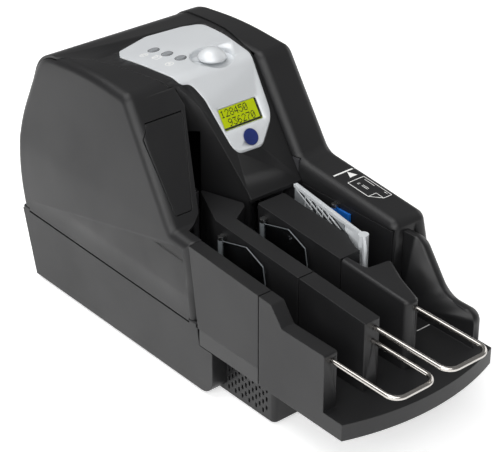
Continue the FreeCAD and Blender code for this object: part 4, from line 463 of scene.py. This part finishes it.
def finished(name: str, mesh: BMesh, finish: Look, bevel: float = 0.0) -> Object:
    """Turn a mesh into a smooth-shaded object with a finish.

    Args:
        name: the object's name.
        mesh: the mesh, which is freed.
        finish: the surface.
        bevel: width in millimetres of the rounding along its sharp edges.

    Returns:
        The object, at the origin.
    """
    data = bpy.data.meshes.new(name)
    mesh.to_mesh(data)
    mesh.free()
    data.materials.clear()
    data.materials.append(finish.material())
    made = linked(name, data)
    if bevel:
        rounding = made.modifiers.new("rounding", "BEVEL")
        rounding.width = bevel * MM
        rounding.segments = ROUNDING_STEPS
        rounding.limit_method = "ANGLE"
        rounding.angle_limit = SHARP
        bake(made)
    smooth(made.data)
    if bevel:
        evened = made.modifiers.new("evened", "WEIGHTED_NORMAL")
        evened.keep_sharp = True
        bake(made)
    return made


def smooth(data: Mesh) -> None:
    """Shade a mesh smooth, but for its sharp edges."""
    data.polygons.foreach_set("use_smooth", [True] * len(data.polygons))
    data.set_sharp_from_angle(angle=SHARP)


def bake(made: Object) -> None:
    """Apply an object's modifiers by putting their result in its place.

    Args:
        made: the object.
    """
    graph = bpy.context.evaluated_depsgraph_get()
    graph.update()
    result = bpy.data.meshes.new_from_object(made.evaluated_get(graph), depsgraph=graph)
    made.modifiers.clear()
    made.data = result


def settle(piece: Object, node: str, stands_in: bool = True) -> Object:
    """Fasten a piece to the body of a node, and report it.

    Args:
        piece: the finished object.
        node: the node whose body and slot it takes.
        stands_in: whether it is shown instead of the node.

    Returns:
        The same object.
    """
    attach(piece, BODY_OF[node])
    if stands_in:
        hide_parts(node)
    log.info("%s: %d faces on %s", piece.name, len(piece.data.polygons), BODY_OF[node])
    return piece


def dress(node: str, finish: Look, bevel: float = 0.0) -> Object:
    """Show a node as a smooth copy in a finish, its sharp edges rounded by a bevel in millimetres."""
    return settle(finished(node + "_skin", copied(node), finish, bevel), node)


def dress_all(finish: Look, nodes: Iterable[str], bevel: float = 0.0) -> None:
    """Show several nodes as smooth copies in one finish, with the same bevel."""
    for node in nodes:
        dress(node, finish, bevel)


def lay_on(node: str, name: str, mesh: BMesh, finish: Look) -> None:
    """Fasten a piece of its own to the body of a node, which stays shown."""
    settle(finished(name, mesh, finish), node, stands_in=False)


def lathe(profile: list[Place], sides: int, lobed_from: int | None = None) -> BMesh:
    """Turn an outline round the Z axis into a closed form.

    Args:
        profile: (radius, height) pairs in millimetres, from the bottom pole to the top one.
        sides: number of faces round it.
        lobed_from: index of the first pair whose ring has six lobes, as a driver's socket has.

    Returns:
        The form, standing on the origin.
    """
    mesh = bmesh.new()
    rings = []
    for level, (radius, height) in enumerate(profile):
        lobed = lobed_from is not None and level >= lobed_from
        ring = []
        for index in range(sides):
            turn = 2 * math.pi * index / sides
            reach = radius * (1 + LOBE_SHARE * math.cos(LOBES * turn) * lobed) * MM
            ring.append(mesh.verts.new((reach * math.cos(turn), reach * math.sin(turn), height * MM)))
        rings.append(ring)
    for low, high in zip(rings, rings[1:]):
        for index in range(sides):
            after = (index + 1) % sides
            mesh.faces.new((low[index], low[after], high[after], high[index]))
    mesh.faces.new(list(reversed(rings[0])))
    mesh.faces.new(rings[-1])
    return mesh


def slab(size: Size, centre: Vector, turn: Matrix | None = None, mesh: BMesh | None = None) -> BMesh:
    """Make a block, or add one to a mesh.

    Args:
        size: its width, depth and height in millimetres.
        centre: where its middle goes, in metres.
        turn: how it is turned.
        mesh: the mesh to add it to.

    Returns:
        The mesh.
    """
    mesh = mesh or bmesh.new()
    scaled = Matrix.Diagonal((*(side * MM for side in size), 1.0))
    place = Matrix.Translation(centre) @ (turn or Matrix.Identity(4)) @ scaled
    bmesh.ops.create_cube(mesh, size=1.0, matrix=place)
    return mesh


class Repeat:
    """Copies of one small form, set on points and turned by angles, by Geometry Nodes."""

    def __init__(self, name: str, form: BMesh, finish: Finish) -> None:
        """Build the tree.

        Args:
            name: name of the piece and of its tree.
            form: the small form, with its outer end towards +Z.
            finish: the surface of every copy.
        """
        self.name = name
        self.form = finished(name + "_form", form, finish)
        self.tree = bpy.data.node_groups.new(name, "GeometryNodeTree")
        self.keys = {}
        for label, kind in (("Places", "Geometry"), ("Form", "Object"), ("Size", "Float")):
            socket = self.tree.interface.new_socket(label, in_out="INPUT", socket_type="NodeSocket" + kind)
            self.keys[label] = socket.identifier
        self.tree.interface.new_socket("Geometry", in_out="OUTPUT", socket_type="NodeSocketGeometry")
        entry = add_node(self.tree, "NodeGroupInput")
        points = add_node(self.tree, "GeometryNodeMeshToPoints", {"Mesh": entry.outputs["Places"]})
        taken = add_node(self.tree, "GeometryNodeObjectInfo", {"Object": entry.outputs["Form"]})
        facing = add_node(self.tree, "GeometryNodeInputNamedAttribute", {"Name": "turn"},
                          data_type="FLOAT_VECTOR")
        angles = add_node(self.tree, "FunctionNodeEulerToRotation", {"Euler": facing.outputs["Attribute"]})
        copies = add_node(self.tree, "GeometryNodeInstanceOnPoints", {
            "Points": points.outputs[0], "Instance": taken.outputs["Geometry"],
            "Rotation": angles.outputs[0], "Scale": entry.outputs["Size"],
        })
        real = add_node(self.tree, "GeometryNodeRealizeInstances", {"Geometry": copies.outputs[0]})
        painted = add_node(self.tree, "GeometryNodeSetMaterial", {
            "Geometry": real.outputs[0], "Material": finish.material(),
        })
        add_node(self.tree, "NodeGroupOutput", {"Geometry": painted.outputs[0]})

    def on(self, node: str, label: str, places: Seats, size: float = 1.0) -> None:
        """Set the copies on one body.

        Args:
            node: a node of the body that carries them.
            label: the new piece's name.
            places: pairs of a point and the direction that the form's outer end faces.
            size: scale of every copy.
        """
        data = bpy.data.meshes.new(label)
        data.from_pydata([place for place, _ in places], [], [])
        turns = data.attributes.new("turn", "FLOAT_VECTOR", "POINT")
        for item, (_, facing) in zip(turns.data, places):
            item.vector = facing.to_track_quat("Z", "Y").to_euler()
        made = linked(label, data)
        grow = made.modifiers.new(self.name, "NODES")
        grow.node_group = self.tree
        grow[self.keys["Form"]] = self.form
        grow[self.keys["Size"]] = size
        bake(made)
        smooth(made.data)
        settle(made, node, stands_in=False)

    def once(self, node: str, label: str, places: Seats) -> None:
        """Set the copies on one body only, and remove the loose form."""
        self.on(node, label, places)
        self.clear()

    def clear(self) -> None:
        """Remove the loose form once every copy is made."""
        bpy.data.objects.remove(self.form)


class Surface:
    """A face of the construction that prints and small pieces are laid on."""

    def __init__(self, node: str, facing: Vector = UP) -> None:
        """Keep the node's mesh ready for casting on.

        Args:
            node: the node's name.
            facing: the outward direction that things are laid from.
        """
        mesh = bmesh.new()
        mesh.from_mesh(frame["nodes"][node].data)
        self.tree = BVHTree.FromBMesh(mesh)
        mesh.free()
        self.node = node
        self.facing = facing.normalized()

    def under(self, point: Vector, lift: float) -> Vector:
        """Drop a point onto the surface.

        Args:
            point: any point, in metres.
            lift: how far above the surface it stays, in millimetres.

        Returns:
            The point on the surface.
        """
        start = point + self.facing * CAST_REACH
        hit, _, _, _ = self.tree.ray_cast(start, -self.facing)
        if hit is None:
            raise ValueError(f"nothing of {self.node} lies under {tuple(point)}")
        return hit + self.facing * lift * MM

    def seats(self, places: Iterable[Place]) -> Seats:
        """Pair the points under places across and ahead with the direction that the surface faces."""
        return [(self.under(point, 0), self.facing) for point in route(places)]


@dataclass
class Ink:
    """Printed lines and patches, a fine film that stands on the surface."""

    surface: Surface
    finish: Finish
    width: float
    lift: float = 0.04
    step: float = 2.0

    def __post_init__(self) -> None:
        """Start the mesh of the whole print."""
        self.mesh = bmesh.new()

    def line(self, points: list[Vector]) -> None:
        """Add a line of even width.

        Args:
            points: the points that it runs through, in metres.
        """
        for start, end in zip(points, points[1:]):
            run = end - start
            side = run.cross(self.surface.facing).normalized() * self.width * MM / 2
            pieces = max(1, math.ceil(run.length / (self.step * MM)))
            pairs = []
            for index in range(pieces + 1):
                middle = start + run * index / pieces
                edges = (middle - side, middle + side)
                pairs.append([self.mesh.verts.new(self.surface.under(edge, self.lift)) for edge in edges])
            for (left, right), (next_left, next_right) in zip(pairs, pairs[1:]):
                self.mesh.faces.new((left, next_left, next_right, right))

    def patch(self, outline: list[Vector]) -> None:
        """Add a filled patch, given by its corners in order."""
        corners = [self.mesh.verts.new(self.surface.under(corner, self.lift)) for corner in outline]
        self.mesh.faces.new(corners)

    def done(self, name: str) -> None:
        """Turn the print into a piece whose faces look outwards.

        Args:
            name: the piece's name.
        """
        for face in self.mesh.faces:
            face.normal_update()
            if face.normal.dot(self.surface.facing) < 0:
                face.normal_flip()
        lay_on(self.surface.node, name, self.mesh, self.finish)


# Sub-assemblies

@dataclass
class Screws:
    """Pan-head screws with a six-lobed socket, one form that the casing and the drive repeat."""

    radius: float = 2.6
    shoulder: float = 2.0
    height: float = 1.3
    rim_height: float = 0.6
    socket_radius: float = 1.15
    socket_floor: float = 0.45
    socket_ring: int = 3
    sides: int = 36

    def build(self) -> Repeat:
        """Make the form and the tree that repeats it on any body."""
        profile = [
            (self.radius, 0.0), (self.radius, self.rim_height), (self.shoulder, self.height),
            (self.socket_radius, self.height), (self.socket_radius, self.socket_floor),
        ]
        return Repeat("screw_heads", lathe(profile, self.sides, self.socket_ring), PIN)


@dataclass
class Casing:
    """The moulded shell: base, sleeve, covers, door, hinge pins, feet and the screws under the base."""

    screws: Repeat
    foot_edge: float = 0.3
    screw_across: tuple[float, ...] = (14.0, 80.0, 130.0)
    screw_ahead: tuple[float, ...] = (24.0, 152.0)

    def build(self) -> None:
        """Dress the shell and set its screws."""
        dress_all(CASE, (
            "lower_housing", "left_cover", "right_cover", "centre_cover", "ink_door", "vent_box",
        ))
        dress("rubber_feet", RUBBER, self.foot_edge)
        dress_all(PIN, ("left_hinge_pins", "right_hinge_pins", "ink_door_pins"))
        self.underside()

    def underside(self) -> None:
        """Set the screws that hold the base."""
        seats = Surface("lower_housing", -UP).seats(product(self.screw_across, self.screw_ahead))
        self.screws.on("lower_housing", "base_screws", seats)


@dataclass
class ControlPanel:
    """The silver panel with its knob, lamps, pictograms, display and badge."""

    slope: float = 56.0
    display_corner: Size = (77.5, 145.9, 182.8)
    text_margin: Place = (1.4, 1.7)
    dot_pitch: Place = (0.74, 0.85)
    dot_size: Size = (0.72, 0.83, 0.06)
    character_pitch: float = 4.4
    line_pitch: float = 7.5
    lines: tuple[str, ...] = ("128450", " 936270")
    window_lift: float = 0.2
    lit_depth: float = 0.2
    pen: float = 0.75
    loop_place: Place = (55.5, 84.4)
    loop_halves: tuple[Place, ...] = ((3.6, 1.9), (1.3, 1.9))
    sheet: tuple[Place, ...] = ((57.0, 92.0), (63.0, 90.5), (64.4, 95.0), (58.4, 96.5), (57.0, 92.0))
    sheet_fold: tuple[Place, ...] = ((57.0, 92.0), (61.6, 93.6), (63.0, 90.5))
    eye_place: Place = (62.1, 107.3)
    eye_half: Place = (3.6, 2.1)
    pupil_half: Place = (1.1, 1.1)
    ring_steps: int = 28
    lamps: tuple[Place, ...] = ((66.7, 81.8), (70.8, 93.2), (74.9, 104.6))
    lamp_half: Place = (4.9, 3.2)
    # Width of the painted shadow round each lamp.
    gap_shadow_pen: float = 0.55
    # Path and width of the painted shadow along the display's lower and right edges.
    edge_shadow: tuple[Place, ...] = ((0.0, 15.8), (35.6, 15.8), (35.6, 0.0))
    edge_shadow_pen: float = 1.6

    def __post_init__(self) -> None:
        """Work out the directions of the slope."""
        angle = math.radians(self.slope)
        self.facing = Vector((0, -math.sin(angle), math.cos(angle)))
        self.down = Vector((0, -math.cos(angle), -math.sin(angle)))

    def build(self) -> None:
        """Dress the panel and everything in it."""
        dress_all(SILVER, ("control_panel", "joystick_knob"))
        dress("joystick_base", GLOSSY)
        dress("status_lights", SMOKED)
        dress("badge_disc", BADGE)
        self.window()
        self.module()
        self.text()
        self.pictograms()
        self.gap_shadows()
        self.shade()

    def window(self) -> None:
        """Show the clear window, its underside raised off the display so that they don't touch."""
        mesh = copied("display_window")
        low = min(vertex.co.dot(self.facing) for vertex in mesh.verts)
        for vertex in mesh.verts:
            if vertex.co.dot(self.facing) - low < self.lit_depth * MM:
                vertex.co += self.facing * self.window_lift * MM
        settle(finished("display_window_skin", mesh, WINDOW), "display_window")

    def module(self) -> None:
        """Show the display, with a lit film as its front face."""
        module = dress("display_module", GLOSSY)
        module.data.materials.append(DISPLAY.material())
        front = max(face.center.dot(self.facing) for face in module.data.polygons)
        for face in module.data.polygons:
            if front - face.center.dot(self.facing) < self.lit_depth * MM:
                face.material_index = 1

    def on_slope(self, right: float, down: float) -> Vector:
        """Find a point by its millimetres right of the display's corner and down the slope from it."""
        return spot(*self.display_corner) + (RIGHT * right + self.down * down) * MM

    def text(self) -> None:
        """Set two lines of plain numbers as rows of segments."""
        film = Surface("display_module", self.facing)
        left, top = self.text_margin
        wide, high = self.dot_pitch
        places = []
        for row, line in enumerate(self.lines):
            for column, character in enumerate(line):
                for height, bits in enumerate(GLYPHS.get(character, ())):
                    for step in range(GLYPH_WIDTH):
                        if not bits >> (GLYPH_WIDTH - 1 - step) & 1:
                            continue
                        right = left + column * self.character_pitch + step * wide
                        down = top + row * self.line_pitch + height * high
                        places.append((film.under(self.on_slope(right, down), 0), self.facing))
        dot = slab(self.dot_size, UP * self.dot_size[2] * MM / 2)
        Repeat("display_dots", dot, SEGMENT).once("display_module", "display_numbers", places)

    def pictograms(self) -> None:
        """Print three plain signs beside the lamps: a loop, a sheet and an eye."""
        ink = Ink(Surface("control_panel"), PANEL_INK, self.pen)
        for half in self.loop_halves:
            ink.line(self.ring(self.loop_place, half))
        for places in (self.sheet, self.sheet_fold):
            ink.line(route(places))
        ink.line(self.ring(self.eye_place, self.eye_half))
        ink.patch(self.ring(self.eye_place, self.pupil_half)[:-1])
        ink.done("panel_pictograms")

    def gap_shadows(self) -> None:
        """Draw painted shadow, a dark ring, in the gap round each lamp."""
        ink = Ink(Surface("control_panel"), GAP_SHADOW, self.gap_shadow_pen)
        for lamp in self.lamps:
            ink.line(self.ring(lamp, self.lamp_half))
        ink.done("lamp_rims")

    def shade(self) -> None:
        """Lay painted shadow, a dark band, along the display's lower and right edges."""
        ink = Ink(Surface("display_module", self.facing), GAP_SHADOW, self.edge_shadow_pen)
        ink.line([self.on_slope(*place) for place in self.edge_shadow])
        ink.done("display_gasket")

    def ring(self, middle: Place, half: Place) -> list[Vector]:
        """Lay out an oval by its centre and half its width and length, the first point repeated."""
        turns = [2 * math.pi * index / self.ring_steps for index in range(self.ring_steps + 1)]
        return route((middle[0] + half[0] * math.cos(turn), middle[1] + half[1] * math.sin(turn))
                     for turn in turns)


@dataclass
class PocketBay:
    """The two sorting pockets behind the tray: walls, dividers, floor and the clear flags."""

    edge_share: float = 0.5
    hub_end: float = 205.2
    dot_radius: float = 0.45
    dot_height: float = 0.2
    dot_places: tuple[Place, ...] = ((232.6, 113.6), (234.8, 113.0), (233.4, 111.6))
    dot_sides: int = 16

    def build(self) -> None:
        """Dress the bay."""
        dress_all(CASE, ("left_pocket_wall", "pocket_divider_one", "pocket_divider_two"))
        dress("pocket_floor", RUBBED)
        dress("hopper_side_plate", CASE)
        dress("flag_pins", PIN)
        for node in ("flag_one", "flag_two"):
            self.flag(node)
        self.marks()

    def flag(self, node: str) -> None:
        """Show a flag clear through its faces, with frosted milled edges whose grey is partly painted
        highlight, and a painted glint on its hub.

        Args:
            node: the flag's node.
        """
        shown = dress(node, FLAG)
        shown.data.materials.append(FLAG_FROST_AND_GLINT.material())
        hub_line = spot(0, self.hub_end, 0).y
        # Edges and hub take the frosted colour; on the hub it is a painted glint.
        for face in shown.data.polygons:
            if abs(face.normal.x) < self.edge_share or face.center.y > hub_line:
                face.material_index = 1

    def marks(self) -> None:
        """Set three small raised dots on the second flag, to tell it from the first."""
        side = Surface("flag_two", -RIGHT)
        dot = lathe([(self.dot_radius, 0.0), (self.dot_radius, self.dot_height)], self.dot_sides)
        places = [(side.under(spot(0, ahead, up), 0), side.facing) for ahead, up in self.dot_places]
        Repeat("flag_dots", dot, FLAG_FROST_AND_GLINT).once("flag_two", "flag_marks", places)


@dataclass
class FrontTray:
    """The tray in front of the bay: its dividers, the two wire loops and the printed stop line."""

    line_width: float = 0.9
    line_ends: tuple[Place, Place] = ((120.4, 321.0), (133.6, 321.0))

    def build(self) -> None:
        """Dress the tray and print its line."""
        dress_all(CASE, ("front_tray", "front_divider_one", "front_divider_two"))
        dress_all(WIRE, ("wire_loop_one", "wire_loop_two"))
        ink = Ink(Surface("front_tray"), WHITE_INK, self.line_width)
        ink.line(route(self.line_ends))
        ink.done("stop_line")


@dataclass
class Hopper:
    """The feeder: pusher paddle, blue latch, feed and separator rollers and their motor."""

    lever_edge: float = 0.25
    pivot: Size = (104.5, 278.0, 0.0)
    tip: Size = (118.5, 189.2, 0.0)
    rail_reach: Place = (31.0, 90.6)
    rail_foot: float = 8.0
    plate: float = 2.2
    rail_out: Place = (-1.1, 2.3)
    rail_up: Place = (121.4, 124.1)
    web_reach: Place = (22.0, 89.6)
    web_out: Place = (0.9, 1.9)
    web_up: Place = (84.0, 122.0)
    strut_starts: tuple[float, ...] = (88.0, 74.0, 60.0, 46.0)
    strut_run: float = 24.0
    strut_up: Place = (121.4, 113.6)
    strut_size: Place = (1.2, 1.3)
    strut_out: float = 1.7
    # The dark strips beside the struts are painted shadow.
    strut_shadow_back: float = 4.6
    strut_shadow_size: Place = (1.0, 2.6)
    strut_shadow_out: float = 1.45

    def __post_init__(self) -> None:
        """Work out the paddle's directions."""
        self.along = (spot(*self.tip) - spot(*self.pivot)).normalized()
        self.left = Vector((-self.along.y, self.along.x, 0))

    def build(self) -> None:
        """Dress the feeder."""
        dress("pusher_paddle", GREY)
        self.truss()
        dress("latch_lever", BLUE, self.lever_edge)
        dress_all(PIN, ("paddle_pin", "latch_pin"))
        dress_all(ROLLER, ("feed_roller", "separator_roller"))
        dress("feed_motor", MOTOR)

    def at(self, reach: float, out: float, up: float) -> Vector:
        """Find a point by its reach from the paddle's pivot, its place to the left and its height."""
        return spot(*self.pivot) + (self.along * reach + self.left * out + UP * up) * MM

    def bar(self, mesh: BMesh, ends: Iterable[Vector], size: Place) -> None:
        """Add a straight bar beside the paddle.

        Args:
            mesh: the mesh to add it to.
            ends: the middles of its ends.
            size: its thickness across the paddle and its height, in millimetres.
        """
        start, end = ends
        run = end - start
        forward = run.normalized()
        turn = Matrix((self.left, forward, self.left.cross(forward))).transposed().to_4x4()
        slab((size[0], run.length / MM, size[1]), (start + end) / 2, turn, mesh)

    def level(self, mesh: BMesh, reach: Place, out: Place, up: Place) -> None:
        """Add a level bar along the paddle, between two reaches, two places to the left and two heights."""
        ends = [self.at(place, sum(out) / 2, sum(up) / 2) for place in reach]
        self.bar(mesh, ends, (out[1] - out[0], up[1] - up[0]))

    def rail(self, mesh: BMesh) -> None:
        """Add the top rail, which tapers towards the pivot so that it clears the second divider.

        Args:
            mesh: the mesh to add it to.
        """
        self.level(mesh, self.rail_reach, self.rail_out, self.rail_up)
        middle = sum(self.rail_up) / 2
        wide = self.rail_out[1] - self.plate / 2
        taper = (self.at(self.rail_foot, 0.0, middle), self.at(self.rail_reach[0], wide, middle))
        self.bar(mesh, taper, (self.plate, self.rail_up[1] - self.rail_up[0]))

    def truss(self) -> None:
        """Set the wide top rail, the web and its slanting struts on the paddle's left side; the web's
        darker colour and the dark strips beside the struts are painted shade.
        """
        mesh = bmesh.new()
        self.rail(mesh)
        # The web: a thin sheet whose darker colour is painted shade in the truss's recesses.
        web = bmesh.new()
        self.level(web, self.web_reach, self.web_out, self.web_up)
        # Dark strips beside the struts: painted shadow.
        dark = bmesh.new()
        for start in self.strut_starts:
            for out, back, size, target in (
                (self.strut_out, 0.0, self.strut_size, mesh),
                (self.strut_shadow_out, self.strut_shadow_back, self.strut_shadow_size, dark),
            ):
                top = self.at(start - back, out, self.strut_up[0])
                foot = self.at(start - back - self.strut_run, out, self.strut_up[1])
                self.bar(target, (top, foot), size)
        lay_on("pusher_paddle", "paddle_truss", mesh, GREY)
        lay_on("pusher_paddle", "paddle_web", web, GREY_RECESS_SHADE)
        lay_on("pusher_paddle", "paddle_grooves", dark, GAP_SHADOW)


@dataclass
class DocumentTrack:
    """The curved track: guides, rollers, scanning and reading heads, ink cartridge and sorting gate."""

    edge: float = 0.3

    def build(self) -> None:
        """Dress the track."""
        dress_all(NYLON, ("outer_guide", "inner_guide", "cartridge_cradle", "sort_gate"))
        dress_all(ROLLER, ("drive_roller_right", "drive_roller_rear", "drive_roller_left"))
        dress_all(ACETAL, ("idler_right", "idler_rear", "idler_left"))
        dress("track_pins", PIN)
        dress_all(GLOSSY, ("front_camera", "back_camera", "ink_cartridge"), self.edge)
        dress("read_head", ALLOY, self.edge)


@dataclass
class Drive:
    """The deck plate with the track motor, its pulley and the belt."""

    screws: Repeat
    screw_across: tuple[float, ...] = (12.0, 88.0)
    screw_ahead: tuple[float, ...] = (14.0, 180.0)
    screw_size: float = 0.8

    def build(self) -> None:
        """Dress the drive and set the deck's screws."""
        dress("deck_plate", ZINC)
        dress("drive_motor", MOTOR)
        dress("motor_pulley", ALLOY)
        dress("drive_belt", RUBBER)
        seats = Surface("deck_plate").seats(product(self.screw_across, self.screw_ahead))
        self.screws.on("deck_plate", "deck_screws", seats, self.screw_size)


@dataclass
class Electronics:
    """The main board with its parts, and the sockets on its rear edge."""

    chip_places: tuple[Place, ...] = ((40.0, 60.0), (70.0, 74.0), (92.0, 96.0), (30.0, 104.0))
    chip_sizes: tuple[Place, ...] = ((18.0, 18.0), (12.0, 12.0), (10.0, 6.0), (6.0, 10.0))
    chip_height: float = 1.6
    can_places: tuple[Place, ...] = ((24.0, 34.0), (33.0, 34.0), (96.0, 30.0), (58.0, 112.0), (66.0, 112.0))
    can_radius: float = 3.4
    can_height: float = 8.0
    can_groove: float = 0.5
    can_collar: Size = (1.0, 1.4, 1.8)
    can_sides: int = 28
    small_size: Size = (2.0, 1.2, 0.9)
    small_start: Place = (56.0, 40.0)
    small_pitch: Place = (3.4, 2.8)
    small_counts: tuple[int, int] = (8, 5)
    pin_root: Size = (38.0, 8.8, 21.1)
    pin_radius: float = 0.9
    pin_length: float = 6.0
    pin_sides: int = 20

    def build(self) -> None:
        """Dress the board and the sockets, and set the parts."""
        dress("main_board", BOARD)
        dress("rear_ports", GLOSSY)
        self.board = Surface("main_board")
        self.chips()
        self.small_parts()
        self.cans()
        self.inlet_pin()

    def chips(self) -> None:
        """Set the large chips."""
        mesh = bmesh.new()
        for point, size in zip(route(self.chip_places), self.chip_sizes):
            slab((*size, self.chip_height), self.board.under(point, self.chip_height / 2), mesh=mesh)
        lay_on("main_board", "board_chips", mesh, CHIP)

    def small_parts(self) -> None:
        """Set the small parts in rows."""
        columns, rows = self.small_counts
        across, ahead = self.small_start
        places = [
            (across + column * self.small_pitch[0], ahead + row * self.small_pitch[1])
            for row, column in product(range(rows), range(columns))
        ]
        form = slab(self.small_size, UP * self.small_size[2] * MM / 2)
        Repeat("small_parts", form, CHIP).once("main_board", "board_small_parts", self.board.seats(places))

    def cans(self) -> None:
        """Set the capacitors, each a can with a groove above its foot and a bevelled top."""
        radius, narrow = self.can_radius, self.can_radius - self.can_groove
        low, middle, high = self.can_collar
        can = lathe([
            (radius, 0.0), (radius, low), (narrow, middle), (radius, high),
            (radius, self.can_height - self.can_groove), (narrow, self.can_height),
        ], self.can_sides)
        seats = self.board.seats(self.can_places)
        Repeat("capacitors", can, ALLOY).once("main_board", "board_capacitors", seats)

    def inlet_pin(self) -> None:
        """Stand the centre pin in the power inlet."""
        radius, length = self.pin_radius, self.pin_length
        pin = lathe([(radius, 0.0), (radius, length - radius / 2), (radius / 2, length)], self.pin_sides)
        rearward = Vector((0, 1, 0))
        Repeat("inlet_pins", pin, PIN).once("rear_ports", "inlet_pin", [(spot(*self.pin_root), rearward)])


@dataclass
class Cooling:
    """The fan behind the vent slots."""

    def build(self) -> None:
        """Dress the fan."""
        dress("fan_frame", CHIP)
        dress("fan_rotor", GLOSSY)


@dataclass
class Prints:
    """The feeding sign on the right cover: a stop line, an arrowhead and a cheque."""

    pen: float = 0.65
    stop_line: tuple[Place, ...] = ((133.4, 214.2), (156.4, 214.2))
    arrow: tuple[Place, ...] = ((146.0, 215.4), (150.0, 222.6), (142.4, 222.6))
    cheque: tuple[Place, ...] = (
        (136.0, 227.0), (152.4, 227.0), (152.4, 257.4), (144.2, 257.4), (136.0, 249.2), (136.0, 227.0),
    )
    fold: tuple[Place, ...] = ((136.0, 249.2), (144.2, 249.2), (144.2, 257.4))
    rules: tuple[tuple[Place, ...], ...] = (
        ((150.0, 230.4), (150.0, 241.3)), ((150.4, 251.6), (150.4, 255.0)),
        ((143.8, 235.6), (143.8, 241.8)), ((142.3, 235.6), (142.3, 241.8)),
        ((143.0, 231.4), (143.0, 233.2)), ((141.6, 231.4), (141.6, 233.2)),
    )
    bold: float = 1.5
    fine: float = 0.5

    def build(self) -> None:
        """Print the sign."""
        ink = Ink(Surface("right_cover"), PANEL_INK, self.pen)
        drawn = {self.bold: [self.stop_line], self.pen: [self.cheque], self.fine: [self.fold, *self.rules]}
        for width, lines in drawn.items():
            ink.width = width
            for places in lines:
                ink.line(route(places))
        ink.patch(route(self.arrow))
        ink.done("feeding_sign")


@dataclass
class Lamp:
    """One soft lamp of the studio."""

    name: str
    place: Vector
    size: Place
    power: float

    def build(self, aim: Vector) -> None:
        """Set the lamp up.

        Args:
            aim: the point it looks at.
        """
        data = bpy.data.lights.new(self.name, "AREA")
        data.shape = "RECTANGLE"
        data.size, data.size_y = self.size
        data.energy = self.power
        made = linked(self.name, data)
        made.location = self.place
        made.rotation_euler = (aim - self.place).to_track_quat("-Z", "Y").to_euler()


@dataclass
class Studio:
    """A pale floor, soft light and the camera at the photograph's angle."""

    floor_half: float = 6.0
    floor_drop: float = 0.05
    floor_shade: str = "#f2f2f2"
    floor_glow: float = 0.55
    fill: float = 0.22
    camera_place: Size = (-645.0, 1042.9, 738.0)
    camera_angles: Size = (60.37, 0.0, -40.03)
    sensor: float = 36.0
    lens: float = 122.9
    aim: Vector = Vector((0.0, 0.0, 0.1))
    lamps: tuple[Lamp, ...] = (
        Lamp("left_softbox", Vector((-1.45, -0.55, 0.75)), (1.3, 0.8), 12.0),
        Lamp("camera_softbox", Vector((-0.75, -0.95, 1.15)), (0.9, 0.9), 7.0),
        Lamp("top_softbox", Vector((-0.5, 0.4, 1.55)), (1.2, 1.2), 14.0),
        Lamp("right_softbox", Vector((1.5, 0.0, 0.6)), (1.0, 0.8), 4.0),
    )

    def build(self) -> None:
        """Set up the floor, the world, the lamps and the camera."""
        self.floor()
        self.world()
        for lamp in self.lamps:
            lamp.build(self.aim)
        data = bpy.data.cameras.new("camera")
        data.sensor_width = self.sensor
        data.lens = self.lens
        camera = linked("camera", data)
        camera.location = spot(*self.camera_place)
        camera.rotation_euler = Euler([math.radians(angle) for angle in self.camera_angles])
        bpy.context.scene.camera = camera
        bpy.context.scene.view_settings.view_transform = "Standard"

    def floor(self) -> None:
        """Lay the floor, which shows white to the camera and keeps the shadow."""
        mesh = bmesh.new()
        bmesh.ops.create_grid(mesh, x_segments=1, y_segments=1, size=self.floor_half)
        for vertex in mesh.verts:
            vertex.co.z = -self.floor_drop * MM
        data = bpy.data.meshes.new("floor")
        mesh.to_mesh(data)
        mesh.free()
        sweep = bpy.data.materials.new("floor_paper")
        sweep.use_nodes = True
        tree = sweep.node_tree
        glow = add_node(tree, "ShaderNodeMath", {
            0: self.seen(tree), 1: self.floor_glow,
        }, operation="MULTIPLY")
        feed(tree, tree.nodes["Principled BSDF"], {
            "Base Color": linear(self.floor_shade), "Roughness": 1.0, "Specular IOR Level": 0.0,
            "Emission Color": linear(WHITE), "Emission Strength": glow.outputs[0],
        })
        data.materials.append(sweep)
        made = linked("floor", data)

    def world(self) -> None:
        """Give an even grey fill; the floor reaches behind the object in every view."""
        world = bpy.data.worlds.new("studio")
        bpy.context.scene.world = world
        world.use_nodes = True
        tree = world.node_tree
        feed(tree, tree.nodes["Background"], {"Color": linear(WHITE), "Strength": self.fill})

    def seen(self, tree: NodeTree) -> NodeSocket:
        """Tell the rays that look at the backdrop from those that light the object.

        Args:
            tree: the tree that asks.

        Returns:
            One for camera, glossy and transmitted rays, or else zero.
        """
        path = add_node(tree, "ShaderNodeLightPath").outputs
        seen = path["Is Camera Ray"]
        for kind in ("Is Transmission Ray", "Is Glossy Ray"):
            either = add_node(tree, "ShaderNodeMath", {0: seen, 1: path[kind]}, operation="MAXIMUM")
            seen = either.outputs[0]
        return seen


def main() -> None:
    """Build every sub-assembly in order, then the studio."""
    logging.basicConfig(level=logging.INFO, format="%(message)s", stream=sys.stdout)
    screws = Screws().build()
    Casing(screws).build()
    ControlPanel().build()
    PocketBay().build()
    FrontTray().build()
    Hopper().build()
    DocumentTrack().build()
    Drive(screws).build()
    Electronics().build()
    Cooling().build()
    Prints().build()
    screws.clear()
    Studio().build()


if __name__ == "__main__":
    main()
